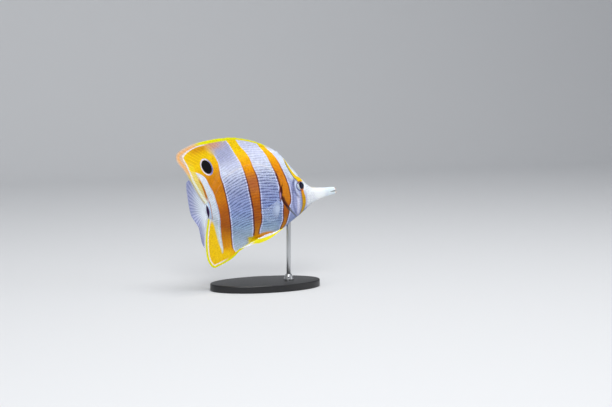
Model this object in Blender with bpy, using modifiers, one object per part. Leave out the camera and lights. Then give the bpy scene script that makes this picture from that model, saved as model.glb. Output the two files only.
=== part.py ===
# Copperband butterflyfish, a life-size still model held by one rod on a flat stand.
#
# The body is one smooth form, lofted from its side and top outlines and then parted by thin cuts
# where a person names its parts. The fins are sheets with their rays raised in the sheet itself.
#
# Fish coordinates: x forward to the snout, y to the fish's left, z up, with the origin at the
# middle of the tail's root. place() turns them into the posed model, nose up and tail swung.

import math

import bmesh
import bpy
import numpy as np
from mathutils import Matrix, Vector


def mm(values):
    """Millimetres, as a number, a point or a list of points, to metres."""
    if isinstance(values, (int, float)):
        return values * 0.001
    return [mm(value) for value in values]


# Driving sizes

SNOUT_TIP_X = mm(134.6)
TAIL_ROOT_X = mm(-3)
GAP = mm(0.3)

# The body's side outline without its fins, from the tail's root to the snout's tip

BODY_TOP = mm([(-3, 6.4), (0, 7.0), (4, 12.4), (9, 22.0), (16, 32.4), (26, 40.6), (38, 45.4), (50, 47.2),
               (62, 46.9), (72.4, 44.4), (80.3, 40.0), (85.6, 34.4), (89.4, 28.3), (97.1, 15.4),
               (102.5, 6.7), (105.7, 2.3), (109.5, -0.6), (116, -2.7), (128, -4.9), (132.4, -5.5),
               (133.8, -6.4), (134.6, -7.9)])
BODY_BOTTOM = mm([(-3, -6.2), (0, -6.8), (5, -9.8), (12, -16.6), (22, -25.0), (34, -32.4), (44, -36.6),
                  (54, -37.8), (62, -37.2), (69.9, -35.0), (79.5, -30.4), (89.6, -25.8), (98.2, -21.3),
                  (102.8, -18.6), (106.8, -16.4), (111.6, -14.7), (120, -13.4), (128, -12.8),
                  (132.4, -13.0), (133.8, -12.5), (134.6, -11.4)])

# Half the body's width, and the height at which it is widest

HALF_WIDTH = mm([(-3, 1.9), (0, 2.6), (6, 3.3), (15, 4.4), (30, 6.8), (45, 9.2), (60, 11.0), (74, 11.4),
                 (84, 10.4), (92, 9.0), (98, 7.6), (103, 6.1), (108, 4.5), (115, 3.2), (122, 2.6),
                 (130, 2.3), (132.3, 2.6), (133.7, 2.3), (134.6, 1.3)])
WIDEST_HEIGHT = mm([(-3, 0), (20, 1), (40, 2), (60, 0), (80, -2), (95, -3), (105, -6), (120, -8.2),
                    (134.6, -9.7)])

# How sharply the flanks close to the ridges: 1 is an ellipse, more is a keel
CLOSING = [(mm(-3), 1.0), (mm(15), 1.2), (mm(60), 1.2), (mm(90), 1.05), (mm(110), 0.95), (mm(134.6), 0.85)]
RIDGE_HALF_WIDTH = mm([(-3, 0.9), (0, 1.2), (78, 1.2), (90, 0.6), (134.6, 0.3)])

# Stations along the body, closer where the outline turns fast
STATIONS = np.concatenate([
    np.linspace(TAIL_ROOT_X, mm(16), 9)[:-1],
    np.linspace(mm(16), mm(96), 25)[:-1],
    np.linspace(mm(96), mm(130), 14),
    mm([131.3, 132.4, 133.3, 134.1, 134.6]),
])
SIDE_POINTS = 15

# Cuts between the named parts, each a line in the side view

HEAD_CUT = mm([(90, 40), (84.5, 27), (80, 17), (76.6, 11), (74.2, 6), (73.0, 1), (73.0, -4), (74.6, -9.5),
               (77.6, -14.5), (81, -19.5), (85, -24.3), (88.5, -30)])
SNOUT_CUT = mm([(108.5, 6), (106.6, -1), (105.4, -9), (105.6, -15), (106.4, -22)])
JAW_CUT = mm([(121.8, 0), (121.2, -9), (120.4, -18)])
TAIL_CUT = mm([(9, 32), (7.4, 8), (7.2, -6), (8.6, -24)])
MOUTH_CORNER = mm((127.2, -9.2))
MOUTH_END = mm((121.0, -8.7))
MOUTH_OPENING = mm(1.3)

# Eye

EYE_X, EYE_Z = mm(96.2), mm(4.0)
EYE_RADIUS = mm(5.0)
EYE_DEPTH_RADIUS = mm(3.3)
EYE_SINK = mm(2.5)
EYE_TURN_FORWARD = math.radians(19)
EYE_TURN_UP = math.radians(10)

# Nostrils, two on each side

NOSTRILS = mm([(102.6, 3.4), (104.0, 1.7)])
NOSTRIL_RADIUS = mm(0.55)
NOSTRIL_DEPTH = mm(1.0)

# Gill cover

GILL_TOP_Z, GILL_BOTTOM_Z = mm(12.5), mm(-23.6)
GILL_FRONT = mm([(-23.6, 86.4), (-21.8, 88.2), (-14, 89.4), (-2, 89.6), (6, 88.0), (10.5, 84.6), (12.5, 80.6)])
GILL_PLATE = mm(1.2)
GILL_LIFT_FRONT, GILL_LIFT_REAR = mm(0.05), mm(0.65)
GILL_REAR_OVERHANG = mm(0.57)
GILL_BED_CLEARANCE = mm(0.4)
GILL_BED_FRONT_OF_CUT = mm(3.5)
GILL_BED_REACH = mm(4)
GILL_GRID = (10, 16)

# Fins

DORSAL_SPINES, DORSAL_RAYS = 9, 29
DORSAL_SPINE_SHARE = 0.42
DORSAL_BASE_X = mm((80.0, 0.6))
DORSAL_OUTLINE = mm([(79.2, 42.4), (72.4, 47.4), (64.8, 52.8), (53.5, 58.6), (41.9, 63.0), (34.8, 64.8),
                     (22.6, 65.9), (10.3, 66.2), (-0.9, 65.7), (-10, 63.8), (-17.9, 60.9), (-20.7, 56.6),
                     (-19.7, 50.9), (-15.5, 43.0), (-11.4, 32.7), (-7.7, 22.5), (-4.6, 14.0),
                     (-2.0, 8.6)])
DORSAL_LEAN = 1.15

ANAL_SPINES, ANAL_RAYS = 3, 20
ANAL_SPINE_SHARE = 0.2
ANAL_BASE_X = mm((45.5, 0.8))
ANAL_OUTLINE = mm([(45.6, -39.2), (35.5, -42.4), (25.3, -45.6), (20.2, -48.9), (14.5, -51.8), (7.6, -53.8),
                   (1.4, -55.2), (-3.2, -55.8), (-6.4, -52.6), (-8.4, -46.6), (-8.6, -39.6), (-7.5, -29.5),
                   (-5.6, -20.9), (-3.2, -13.4), (-1.6, -9.0)])
ANAL_LEAN = 1.1

FIN_ROOT_THICKNESS = mm(2.3)
MEMBRANE_THICKNESS = mm(0.55)
RAY_THICKNESS = mm(0.95)
SPINE_THICKNESS = mm(1.3)
SPINE_NOTCH = mm(0.7)
MEDIAN_FIN_ROWS = 7

TAIL_RAYS = 19
TAIL_ROWS = 9
TAIL_ROOT_HEIGHT = mm(11.4)
TAIL_ROOT_THICKNESS = mm(3.2)
TAIL_FAN_DOWN, TAIL_FAN_UP = math.radians(60), math.radians(66)
TAIL_LENGTH = [(-1, mm(30)), (-0.86, mm(29)), (-0.45, mm(21.4)), (-0.2, mm(20.4)), (0, mm(20.8)), (0.4, mm(24)),
               (0.6, mm(27)), (0.76, mm(31.2)), (0.86, mm(33.2)), (0.95, mm(32.6)), (1, mm(30.5))]
TAIL_TWIST = [(-1, 15), (-0.45, 14), (-0.15, 6), (0.1, 0), (1, 0)]

PECTORAL_RAYS = 15
PECTORAL_ROWS = 6
PECTORAL_ROOT = mm([(72.0, -3.0), (70.4, -9.6)])
PECTORAL_SINK = mm(1.4)
PECTORAL_LENGTHS = mm((27, 12))
PECTORAL_ANGLES = (math.radians(14), math.radians(84))
PECTORAL_SPLAY = {"right": math.radians(24), "left": math.radians(36)}
PECTORAL_BOW = mm(1.6)
PECTORAL_THICKNESS = mm(1.5)

PELVIC_ROWS = 8
PELVIC_ROOT = mm([(71.4, 2.3, -33.5), (64.4, 2.9, -34.6)])
PELVIC_TIPS = mm([(45.0, 3.0, -42.3), (25.0, 4.6, -42.5), (35.5, 5.6, -39.4), (43.5, 6.4, -36.8),
                  (50.5, 7.0, -35.0), (56.5, 7.2, -34.2)])
PELVIC_BOW = mm((2.1, 0.8))
PELVIC_THICKNESS = mm(1.7)

# Pose: the nose points up a little, and the tail swings to the fish's right

PITCH = math.radians(10.5)
TAIL_SWING = [(mm(-32), 43), (mm(-14), 36), (mm(-6), 25), (mm(0), 13), (mm(8), 4), (mm(18), 0), (mm(140), 0)]
ORIGIN_HEIGHT = mm(78)
ORIGIN_FORWARD = mm(-51.5)

# Stand

BASE_LENGTH, BASE_WIDTH, BASE_THICKNESS = mm(112), mm(62), mm(7)
BASE_CENTRE_X = mm(8)
BASE_EDGE = mm(1.2)
ROD_RADIUS = mm(2.1)
ROD_FISH_X = mm(79.5)
ROD_SINK = mm(6)
COLLAR_LOW_RADIUS, COLLAR_TOP_RADIUS, COLLAR_HEIGHT = mm(5), mm(3.1), mm(5)

RIGHT, LEFT = -1, 1
SIDES = {"right": RIGHT, "left": LEFT}


def clear_scene():
    for item in list(bpy.data.objects):
        bpy.data.objects.remove(item, do_unlink=True)


def collection(name):
    made = bpy.data.collections.new(name)
    bpy.context.scene.collection.children.link(made)
    return made


def smooth_function(points):
    """A function through the points that bends smoothly and never overshoots them."""
    xs, ys = np.array(points, float).T
    steps = np.diff(xs)
    rises = np.diff(ys) / steps
    slopes = np.zeros(len(xs))
    slopes[0], slopes[-1] = rises[0], rises[-1]
    for i in range(1, len(xs) - 1):
        if rises[i - 1] * rises[i] > 0:
            before, after = 2 * steps[i] + steps[i - 1], steps[i] + 2 * steps[i - 1]
            slopes[i] = (before + after) / (before / rises[i - 1] + after / rises[i])

    def value(x):
        x = min(max(x, xs[0]), xs[-1])
        i = min(int(np.searchsorted(xs, x, side="right")) - 1, len(steps) - 1)
        t = (x - xs[i]) / steps[i]
        return float(
            ys[i] * (1 + 2 * t) * (1 - t) ** 2
            + slopes[i] * steps[i] * t * (1 - t) ** 2
            + ys[i + 1] * t * t * (3 - 2 * t)
            + slopes[i + 1] * steps[i] * t * t * (t - 1)
        )

    return value


def smooth_path(points, samples=12):
    """Points closely spaced on a round curve through the given ones."""
    points = [np.array(point, float) for point in points]
    ends = [2 * points[0] - points[1]] + points + [2 * points[-1] - points[-2]]
    path = []
    for a, b, c, d in zip(ends, ends[1:], ends[2:], ends[3:]):
        for t in np.arange(samples) / samples:
            path.append(0.5 * (2 * b + (c - a) * t + (2 * a - 5 * b + 4 * c - d) * t**2
                               + (3 * b - a - 3 * c + d) * t**3))
    return np.array(path + [points[-1]])


def point_along(path, share):
    """The point at this share of the path's length."""
    lengths = np.concatenate([[0], np.cumsum(np.linalg.norm(np.diff(path, axis=0), axis=1))])
    return np.array([np.interp(share * lengths[-1], lengths, path[:, axis]) for axis in range(path.shape[1])])


top_line = smooth_function(BODY_TOP)
bottom_line = smooth_function(BODY_BOTTOM)
half_width = smooth_function(HALF_WIDTH)
widest_height = smooth_function(WIDEST_HEIGHT)
closing = smooth_function(CLOSING)
ridge_half_width = smooth_function(RIDGE_HALF_WIDTH)
swing_at = smooth_function(TAIL_SWING)


def swing_table():
    """Where the swung midline runs: for each x, its own x and y and how far it is turned."""
    xs = np.arange(mm(20), mm(-36), mm(-0.25))
    turns = np.array([math.radians(swing_at(x)) for x in xs])
    step = mm(0.25)
    line_x = xs[0] - np.concatenate([[0], np.cumsum(np.cos(turns[:-1]) * step)])
    line_y = -np.concatenate([[0], np.cumsum(np.sin(turns[:-1]) * step)])
    return xs[::-1], line_x[::-1], line_y[::-1], turns[::-1]


SWING_X, SWING_LINE_X, SWING_LINE_Y, SWING_TURN = swing_table()


def place(point, root_x=None):
    """A fish point in the posed model. A fin's point turns with the midline at its root."""
    x, y, z = point
    root_x = x if root_x is None else root_x
    line_x, line_y, turn = root_x, 0.0, 0.0
    if root_x < SWING_X[-1]:
        line_x = np.interp(root_x, SWING_X, SWING_LINE_X)
        line_y = np.interp(root_x, SWING_X, SWING_LINE_Y)
        turn = np.interp(root_x, SWING_X, SWING_TURN)
    along = x - root_x
    swung_x = line_x + along * math.cos(turn) - y * math.sin(turn)
    swung_y = line_y + along * math.sin(turn) + y * math.cos(turn)
    return Vector((
        swung_x * math.cos(PITCH) - z * math.sin(PITCH) + ORIGIN_FORWARD,
        swung_y,
        swung_x * math.sin(PITCH) + z * math.cos(PITCH) + ORIGIN_HEIGHT,
    ))


def body_section(x, angle, side, grow=0.0):
    """A point of the body's skin at x, where angle runs from the belly's ridge up to the back's."""
    widest = widest_height(x)
    reach = top_line(x) + grow - widest if angle > 0 else widest - bottom_line(x) + grow
    ridge = ridge_half_width(x)
    across = ridge + (half_width(x) + grow - ridge) * max(math.cos(angle), 0) ** closing(x)
    return x, side * across, widest + reach * math.sin(angle)


def flank(x, z):
    """Half the body's width at this place in the side view."""
    widest = widest_height(x)
    reach = top_line(x) - widest if z > widest else widest - bottom_line(x)
    level = min(abs(z - widest) / reach, 1.0)
    ridge = ridge_half_width(x)
    return ridge + (half_width(x) - ridge) * (1 - level * level) ** (closing(x) / 2)


def edge_point(line, x, outward):
    """A point a gap outside the body's top or bottom line, square to it."""
    step = mm(0.5)
    slope = (line(x + step) - line(x - step)) / (2 * step)
    normal = np.array((-slope, 1.0)) / math.hypot(slope, 1.0)
    return np.array((x, line(x))) + outward * normal * GAP * 1.15


def add_object(name, mesh, home):
    made = bpy.data.objects.new(name, mesh)
    home.objects.link(made)
    return made


def sheet(name, columns, rows, shape, home, triangles=True):
    """A grid of columns by rows, each of its points put where shape(column share, row share) says."""
    bm = bmesh.new()
    bmesh.ops.create_grid(bm, x_segments=columns, y_segments=rows, size=1)
    for vert in bm.verts:
        vert.co = shape((vert.co.x + 1) / 2, (vert.co.y + 1) / 2)
    if triangles:
        bmesh.ops.triangulate(bm, faces=bm.faces[:])
    mesh = bpy.data.meshes.new(name)
    bm.to_mesh(mesh)
    bm.free()
    return add_object(name, mesh, home)


def thicken(made, thickness, weights=None, offset=0.0):
    """Gives a sheet its thickness, the same all over or by a weight for each of its points."""
    solid = made.modifiers.new("thickness", "SOLIDIFY")
    solid.thickness = thickness
    solid.offset = offset
    if weights is not None:
        group = made.vertex_groups.new(name="thickness")
        for index, weight in enumerate(weights):
            group.add([index], weight, "REPLACE")
        solid.vertex_group = group.name
        solid.thickness_vertex_group = 0.0


def apply_modifiers(made):
    graph = bpy.context.evaluated_depsgraph_get()
    mesh = bpy.data.meshes.new_from_object(made.evaluated_get(graph))
    old = made.data
    made.modifiers.clear()
    made.data = mesh
    bpy.data.meshes.remove(old)
    face_outward(made)


def face_outward(made):
    """Turns a closed mesh the right way out where its faces point inwards."""
    bm = bmesh.new()
    bm.from_mesh(made.data)
    if bm.calc_volume(signed=True) < 0:
        bmesh.ops.reverse_faces(bm, faces=bm.faces[:])
    bm.to_mesh(made.data)
    bm.free()


def cut(made, cutter, solver="EXACT"):
    modifier = made.modifiers.new("cut", "BOOLEAN")
    modifier.operation = "DIFFERENCE"
    modifier.object = cutter
    modifier.solver = solver


def make_cutter(made):
    made.hide_render = True
    made.display_type = "WIRE"
    return made


def body_loft(name, home, grow=0.0):
    """The whole body as one closed form, a ring of points at each station and a flat cap at each end."""
    stations = STATIONS.copy()
    stations[0] -= grow
    stations[-1] += grow
    ring = 2 * SIDE_POINTS

    def shape(along, around):
        x = stations[round(along * (len(stations) - 1))]
        inside = min(max(x, TAIL_ROOT_X), SNOUT_TIP_X)
        step = round(around * ring) % ring
        side = LEFT if step < SIDE_POINTS else RIGHT
        step = min(step, ring - 1 - step)
        angle = math.pi * (step / (SIDE_POINTS - 1) - 0.5)
        _, y, z = body_section(inside, angle, side, grow)
        return place((x, y, z))

    made = sheet(name, len(stations) - 1, ring, shape, home, triangles=False)
    bm = bmesh.new()
    bm.from_mesh(made.data)
    bmesh.ops.remove_doubles(bm, verts=bm.verts[:], dist=mm(0.001))
    bmesh.ops.holes_fill(bm, edges=[edge for edge in bm.edges if edge.is_boundary], sides=0)
    bmesh.ops.triangulate(bm, faces=bm.faces[:])
    bmesh.ops.recalc_face_normals(bm, faces=bm.faces[:])
    bm.to_mesh(made.data)
    bm.free()
    return made


def blade(name, path, home, widths=None):
    """A thin upright wall along a line in the side view, wide enough to part the whole body."""
    path = np.array(path)
    widths = np.full(len(path), GAP) if widths is None else widths
    half_reach = mm(30)

    def shape(along, across):
        i = round(along * (len(path) - 1))
        tangent = path[min(i + 1, len(path) - 1)] - path[max(i - 1, 0)]
        normal = np.array((-tangent[1], tangent[0])) / np.linalg.norm(tangent)
        x, z = path[i] + normal * widths[i] * (across - 0.5)
        return place((x, -half_reach, z))

    bm = bmesh.new()
    bmesh.ops.create_grid(bm, x_segments=len(path) - 1, y_segments=1, size=1)
    for vert in bm.verts:
        vert.co = shape((vert.co.x + 1) / 2, (vert.co.y + 1) / 2)
    across = place((path[0][0], half_reach, 0)) - place((path[0][0], -half_reach, 0))
    swept = bmesh.ops.extrude_face_region(bm, geom=bm.faces[:])
    moved = [item for item in swept["geom"] if isinstance(item, bmesh.types.BMVert)]
    bmesh.ops.translate(bm, verts=moved, vec=across)
    bmesh.ops.recalc_face_normals(bm, faces=bm.faces[:])
    mesh = bpy.data.meshes.new(name)
    bm.to_mesh(mesh)
    bm.free()
    return make_cutter(add_object(name, mesh, home))


def mouth_blade(home):
    """The mouth: a hairline back to the jaws' end, opening into a wedge from its corner to the lips."""
    corner, end = np.array(MOUTH_CORNER), np.array(MOUTH_END)
    tip = corner + (corner - end) * 1.6
    path = np.array([end + (end - corner) * 0.02, corner, tip])
    return blade("mouth_cutter", path, home, widths=[GAP, GAP * 1.2, MOUTH_OPENING * 1.3])


def part_body(parts, cutters):
    """The body cut along its lines into head, snout, jaws, torso and tail stalk."""
    body = body_loft("body", cutters)
    blades = [
        blade("head_cutter", smooth_path(HEAD_CUT, 3), cutters),
        blade("snout_cutter", smooth_path(SNOUT_CUT, 2), cutters),
        blade("jaw_cutter", smooth_path(JAW_CUT, 1), cutters),
        blade("tail_cutter", smooth_path(TAIL_CUT, 1), cutters),
        mouth_blade(cutters),
    ]
    for cutter in blades:
        cut(body, cutter)
    apply_modifiers(body)
    pieces = loose_pieces(body, cutters)
    inside = {
        "torso": mm((45, 0, 4)),
        "head": mm((92, 0, 0)),
        "snout": mm((113, 0, -8)),
        "upper_jaw": mm((126, 0, -6.5)),
        "lower_jaw": mm((126, 0, -11.5)),
        "tail_stalk": mm((2, 0, 0)),
    }
    for name, point in inside.items():
        named = min(pieces, key=lambda piece: (piece_middle(piece) - place(point)).length)
        pieces.remove(named)
        named.name = name
        named.data.name = name
        cutters.objects.unlink(named)
        parts.objects.link(named)
    bpy.data.objects.remove(body, do_unlink=True)


def piece_middle(piece):
    corners = np.array([vert.co for vert in piece.data.vertices])
    return Vector((corners.min(axis=0) + corners.max(axis=0)) / 2)


def loose_pieces(made, home):
    """Each separate shell of a mesh as an object of its own."""
    bm = bmesh.new()
    bm.from_mesh(made.data)
    bm.verts.ensure_lookup_table()
    unseen = set(range(len(bm.verts)))
    shells = []
    while unseen:
        front = [unseen.pop()]
        shell = set(front)
        while front:
            for edge in bm.verts[front.pop()].link_edges:
                for vert in edge.verts:
                    if vert.index in unseen:
                        unseen.discard(vert.index)
                        shell.add(vert.index)
                        front.append(vert.index)
        shells.append(shell)
    pieces = []
    for shell in shells:
        other = bm.copy()
        other.verts.ensure_lookup_table()
        spare = [vert for vert in other.verts if vert.index not in shell]
        bmesh.ops.delete(other, geom=spare, context="VERTS")
        mesh = bpy.data.meshes.new("piece")
        other.to_mesh(mesh)
        other.free()
        pieces.append(add_object("piece", mesh, home))
    bm.free()
    return pieces


def eye_frame(side):
    """Where an eye sits, and how its outer face is turned forward and up."""
    outward = side * (flank(EYE_X, EYE_Z) - EYE_SINK)
    turn = Matrix.Rotation(side * -EYE_TURN_FORWARD, 4, "Z") @ Matrix.Rotation(side * EYE_TURN_UP, 4, "X")
    fish = Matrix.Translation(place((EYE_X, outward, EYE_Z))) @ Matrix.Rotation(-PITCH, 4, "Y")
    return fish @ turn


def eyeball(name, side, home, grow=0.0, segments=28, rings=12):
    bm = bmesh.new()
    bmesh.ops.create_uvsphere(bm, u_segments=segments, v_segments=rings, radius=1)
    radius, depth = EYE_RADIUS + grow, EYE_DEPTH_RADIUS + grow
    bmesh.ops.rotate(bm, verts=bm.verts[:], matrix=Matrix.Rotation(math.pi / 2, 3, "X"))
    bmesh.ops.scale(bm, verts=bm.verts[:], vec=(radius, depth, radius))
    bmesh.ops.transform(bm, verts=bm.verts[:], matrix=eye_frame(side))
    mesh = bpy.data.meshes.new(name)
    bm.to_mesh(mesh)
    bm.free()
    return add_object(name, mesh, home)


def nostril_cutter(name, x, z, side, home):
    bm = bmesh.new()
    bmesh.ops.create_cone(bm, cap_ends=True, segments=8, radius1=NOSTRIL_RADIUS, radius2=NOSTRIL_RADIUS,
                          depth=2 * NOSTRIL_DEPTH)
    bmesh.ops.rotate(bm, verts=bm.verts[:], matrix=Matrix.Rotation(math.pi / 2, 3, "X"))
    bmesh.ops.translate(bm, verts=bm.verts[:], vec=place((x, side * flank(x, z), z)))
    mesh = bpy.data.meshes.new(name)
    bm.to_mesh(mesh)
    bm.free()
    return make_cutter(add_object(name, mesh, home))


head_cut_path = smooth_path(HEAD_CUT)


def head_cut_x(z):
    """Where the cut behind the gill cover runs at this height."""
    return float(np.interp(-z, -head_cut_path[:, 1], head_cut_path[:, 0]))


gill_front = smooth_function(GILL_FRONT)


def gill_plate(name, side, home, depth, thickness, margin=0.0, rear_margin=0.0):
    """A plate with its inner face this deep in the head's side, out from the gill cover's outline."""
    columns, rows = GILL_GRID

    def shape(back, up):
        z = GILL_BOTTOM_Z + up * (GILL_TOP_Z - GILL_BOTTOM_Z)
        rear = head_cut_x(z) + GILL_REAR_OVERHANG - rear_margin
        front = gill_front(z) + margin
        x = front + back * (rear - front)
        raised = GILL_LIFT_FRONT + (GILL_LIFT_REAR - GILL_LIFT_FRONT) * back**1.5
        raised *= math.sin(math.pi * min(max(up, 0.04), 0.96)) ** 0.4
        return place((x, side * (flank(x, z) + raised - depth), z + margin * (2 * up - 1)))

    plate = sheet(name, columns, rows, shape, home)
    thicken(plate, thickness, offset=side)
    apply_modifiers(plate)
    return plate


def gill_cover(name, side, parts, cutters):
    """The plate over the gills, let into the head's side and standing a little proud at its rear edge."""
    gill_plate(name, side, parts, GILL_PLATE, GILL_PLATE)
    bed = gill_plate(name + "_bed", side, cutters, GILL_PLATE + GILL_BED_CLEARANCE, GILL_PLATE + GILL_BED_REACH,
                     margin=GILL_BED_CLEARANCE, rear_margin=GILL_BED_FRONT_OF_CUT)
    return make_cutter(bed)


def shape_head(parts, cutters):
    """Eye sockets, nostrils and the beds of the gill covers, cut from the head."""
    head = bpy.data.objects["head"]
    for word, side in SIDES.items():
        bed = gill_cover("gill_cover_" + word, side, parts, cutters)
        cut(head, bed)
        eyeball("eye_" + word, side, parts)
        socket = make_cutter(eyeball("eye_socket_" + word, side, cutters, grow=GAP))
        cut(head, socket)
        for count, (x, z) in enumerate(NOSTRILS):
            pit = nostril_cutter("nostril_" + word + str(count), x, z, side, cutters)
            cut(head, pit)
    apply_modifiers(head)


def fin_weights(columns, rows, root, membrane, ray):
    """For each grid point its thickness as a share of the root's: thin membrane, thicker rays."""
    weights = []
    for row in range(rows + 1):
        up = row / rows
        for column in range(columns + 1):
            raised = ray(column / 2) if column % 2 == 0 else membrane
            edge = raised + (membrane - raised) * up**1.5
            weights.append((edge + (root - edge) * (1 - up) ** 3) / root)
    return weights


def ray_shares(spines, rays, spine_share):
    """Each spine's and ray's place along the fin's root, the spines wider apart than the rays."""
    front = [spine_share * i / spines for i in range(spines)]
    rear = [spine_share + (1 - spine_share) * i / (rays - 1) for i in range(rays)]
    return front + rear


def median_fin(name, line, outward, base_x, outline, counts, lean, home):
    """The dorsal or anal fin: a sheet standing on the body's ridge, with spines and then soft rays."""
    spines, rays, spine_share = counts
    shares = ray_shares(spines, rays, spine_share)
    columns = 2 * (len(shares) - 1)
    margin = smooth_path(outline)
    xs = np.linspace(base_x[0], base_x[1], 200)
    base = np.array([edge_point(line, x, outward) for x in xs])

    def shape(along, up):
        column = round(along * columns)
        share = (shares[column // 2] + shares[(column + 1) // 2]) / 2
        root = point_along(base, share)
        tip = point_along(margin, share**lean)
        between_spines = column % 2 == 1 and column < 2 * spines
        if between_spines:
            tip = tip + (root - tip) / np.linalg.norm(root - tip) * SPINE_NOTCH
        x, z = root + (tip - root) * up
        return place((x, 0, z), root_x=root[0])

    def ray_thickness(index):
        return SPINE_THICKNESS if index < spines else RAY_THICKNESS

    made = sheet(name, columns, MEDIAN_FIN_ROWS, shape, home)
    weights = fin_weights(columns, MEDIAN_FIN_ROWS, FIN_ROOT_THICKNESS, MEMBRANE_THICKNESS, ray_thickness)
    thicken(made, FIN_ROOT_THICKNESS, weights)
    apply_modifiers(made)


def tail_fin(home):
    """The tail: a wide fan of rays on the rear face of the tail stalk, its lower rays turned more."""
    length = smooth_function(TAIL_LENGTH)
    twist = smooth_function(TAIL_TWIST)
    columns = 2 * (TAIL_RAYS - 1)
    root_x = TAIL_ROOT_X - GAP

    def shape(along, back):
        share = 2 * along - 1
        angle = share * (TAIL_FAN_UP if share > 0 else TAIL_FAN_DOWN)
        turn = math.radians(twist(share)) * min(1, 3 * back)
        reach = length(share) * back
        back_reach = reach * math.cos(angle)
        z = share * TAIL_ROOT_HEIGHT / 2 + reach * math.sin(angle)
        return place((root_x - back_reach * math.cos(turn), -back_reach * math.sin(turn), z))

    made = sheet("tail_fin", columns, TAIL_ROWS, shape, home)
    weights = fin_weights(columns, TAIL_ROWS, TAIL_ROOT_THICKNESS, MEMBRANE_THICKNESS, lambda i: RAY_THICKNESS)
    thicken(made, TAIL_ROOT_THICKNESS, weights)
    apply_modifiers(made)


def trim_root(made, clearance):
    """Cuts a fin's root to the skin it grows from, and keeps the fin."""
    cut(made, clearance, solver="MANIFOLD")
    apply_modifiers(made)
    keep_largest(made)


def volume(made):
    bm = bmesh.new()
    bm.from_mesh(made.data)
    size = bm.calc_volume()
    bm.free()
    return size


def keep_largest(made):
    home = made.users_collection[0]
    pieces = loose_pieces(made, home)
    pieces.sort(key=volume)
    largest = pieces.pop()
    made.data = largest.data
    pieces.append(largest)
    for piece in pieces:
        bpy.data.objects.remove(piece, do_unlink=True)


def pectoral_fin(name, word, home, clearance):
    """A breast fin: a fan of rays from an upright root on the flank, held out from the body."""
    side = SIDES[word]
    columns = 2 * (PECTORAL_RAYS - 1)
    splay = PECTORAL_SPLAY[word]
    back_way = np.array((-math.cos(splay), side * math.sin(splay), 0))
    top, bottom = (np.array((x, side * (flank(x, z) - PECTORAL_SINK), z)) for x, z in PECTORAL_ROOT)
    down_way = (bottom - top) / np.linalg.norm(bottom - top)

    def shape(along, out):
        angle = PECTORAL_ANGLES[0] + along * (PECTORAL_ANGLES[1] - PECTORAL_ANGLES[0])
        reach = PECTORAL_LENGTHS[0] + (PECTORAL_LENGTHS[1] - PECTORAL_LENGTHS[0]) * along**1.3
        way = math.cos(angle) * back_way + math.sin(angle) * down_way
        bow = np.array((0, side * PECTORAL_BOW * math.sin(math.pi * out), 0))
        return place(top + (bottom - top) * along + way * reach * out + bow)

    made = sheet(name, columns, PECTORAL_ROWS, shape, home)
    weights = fin_weights(columns, PECTORAL_ROWS, PECTORAL_THICKNESS, MEMBRANE_THICKNESS,
                          lambda i: RAY_THICKNESS)
    thicken(made, PECTORAL_THICKNESS, weights)
    apply_modifiers(made)
    trim_root(made, clearance)


def pelvic_fin(name, word, home, clearance):
    """A belly fin: one spine and five rays, the first drawn out into a thread."""
    mirror = np.array((1, SIDES[word], 1))
    columns = 2 * (len(PELVIC_TIPS) - 1)
    front, rear = (np.array(point) * mirror for point in PELVIC_ROOT)
    tips = [np.array(point) * mirror for point in PELVIC_TIPS]

    def shape(along, out):
        column = round(along * columns)
        root = front + (rear - front) * along
        end = (tips[column // 2] + tips[(column + 1) // 2]) / 2
        bow = (PELVIC_BOW[0] + (PELVIC_BOW[1] - PELVIC_BOW[0]) * along) * math.sin(math.pi * out)
        return place(root + (end - root) * out - np.array((0, 0, bow)))

    made = sheet(name, columns, PELVIC_ROWS, shape, home)
    weights = fin_weights(columns, PELVIC_ROWS, PELVIC_THICKNESS, MEMBRANE_THICKNESS,
                          lambda i: SPINE_THICKNESS if i == 0 else RAY_THICKNESS)
    thicken(made, PELVIC_THICKNESS, weights)
    apply_modifiers(made)
    trim_root(made, clearance)


def stand(home, clearance):
    """A flat oval base, and one rod in a collar up to the fish's chest."""
    bm = bmesh.new()
    bmesh.ops.create_cone(bm, cap_ends=True, segments=48, radius1=0.5, radius2=0.5, depth=1)
    bmesh.ops.scale(bm, verts=bm.verts[:], vec=(BASE_LENGTH, BASE_WIDTH, BASE_THICKNESS))
    bmesh.ops.translate(bm, verts=bm.verts[:], vec=(BASE_CENTRE_X, 0, BASE_THICKNESS / 2))
    rims = [edge for edge in bm.edges if abs(edge.verts[0].co.z - edge.verts[1].co.z) < GAP]
    bmesh.ops.bevel(bm, geom=rims, offset=BASE_EDGE, segments=2, affect="EDGES", profile=0.5)
    mesh = bpy.data.meshes.new("stand_base")
    bm.to_mesh(mesh)
    bm.free()
    add_object("stand_base", mesh, home)

    foot = place((ROD_FISH_X, 0, bottom_line(ROD_FISH_X)))
    collar_bottom = BASE_THICKNESS + GAP
    add_turned("stand_collar", foot.x, collar_bottom, COLLAR_HEIGHT, COLLAR_LOW_RADIUS, COLLAR_TOP_RADIUS, home)
    rod_bottom = collar_bottom + COLLAR_HEIGHT + GAP
    rod_height = foot.z + ROD_SINK - rod_bottom
    rod = add_turned("stand_rod", foot.x, rod_bottom, rod_height, ROD_RADIUS, ROD_RADIUS, home)
    trim_root(rod, clearance)


def add_turned(name, x, bottom, height, low_radius, high_radius, home):
    bm = bmesh.new()
    bmesh.ops.create_cone(bm, cap_ends=True, segments=24, radius1=low_radius, radius2=high_radius, depth=height)
    bmesh.ops.translate(bm, verts=bm.verts[:], vec=(x, 0, bottom + height / 2))
    mesh = bpy.data.meshes.new(name)
    bm.to_mesh(mesh)
    bm.free()
    return add_object(name, mesh, home)


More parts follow.
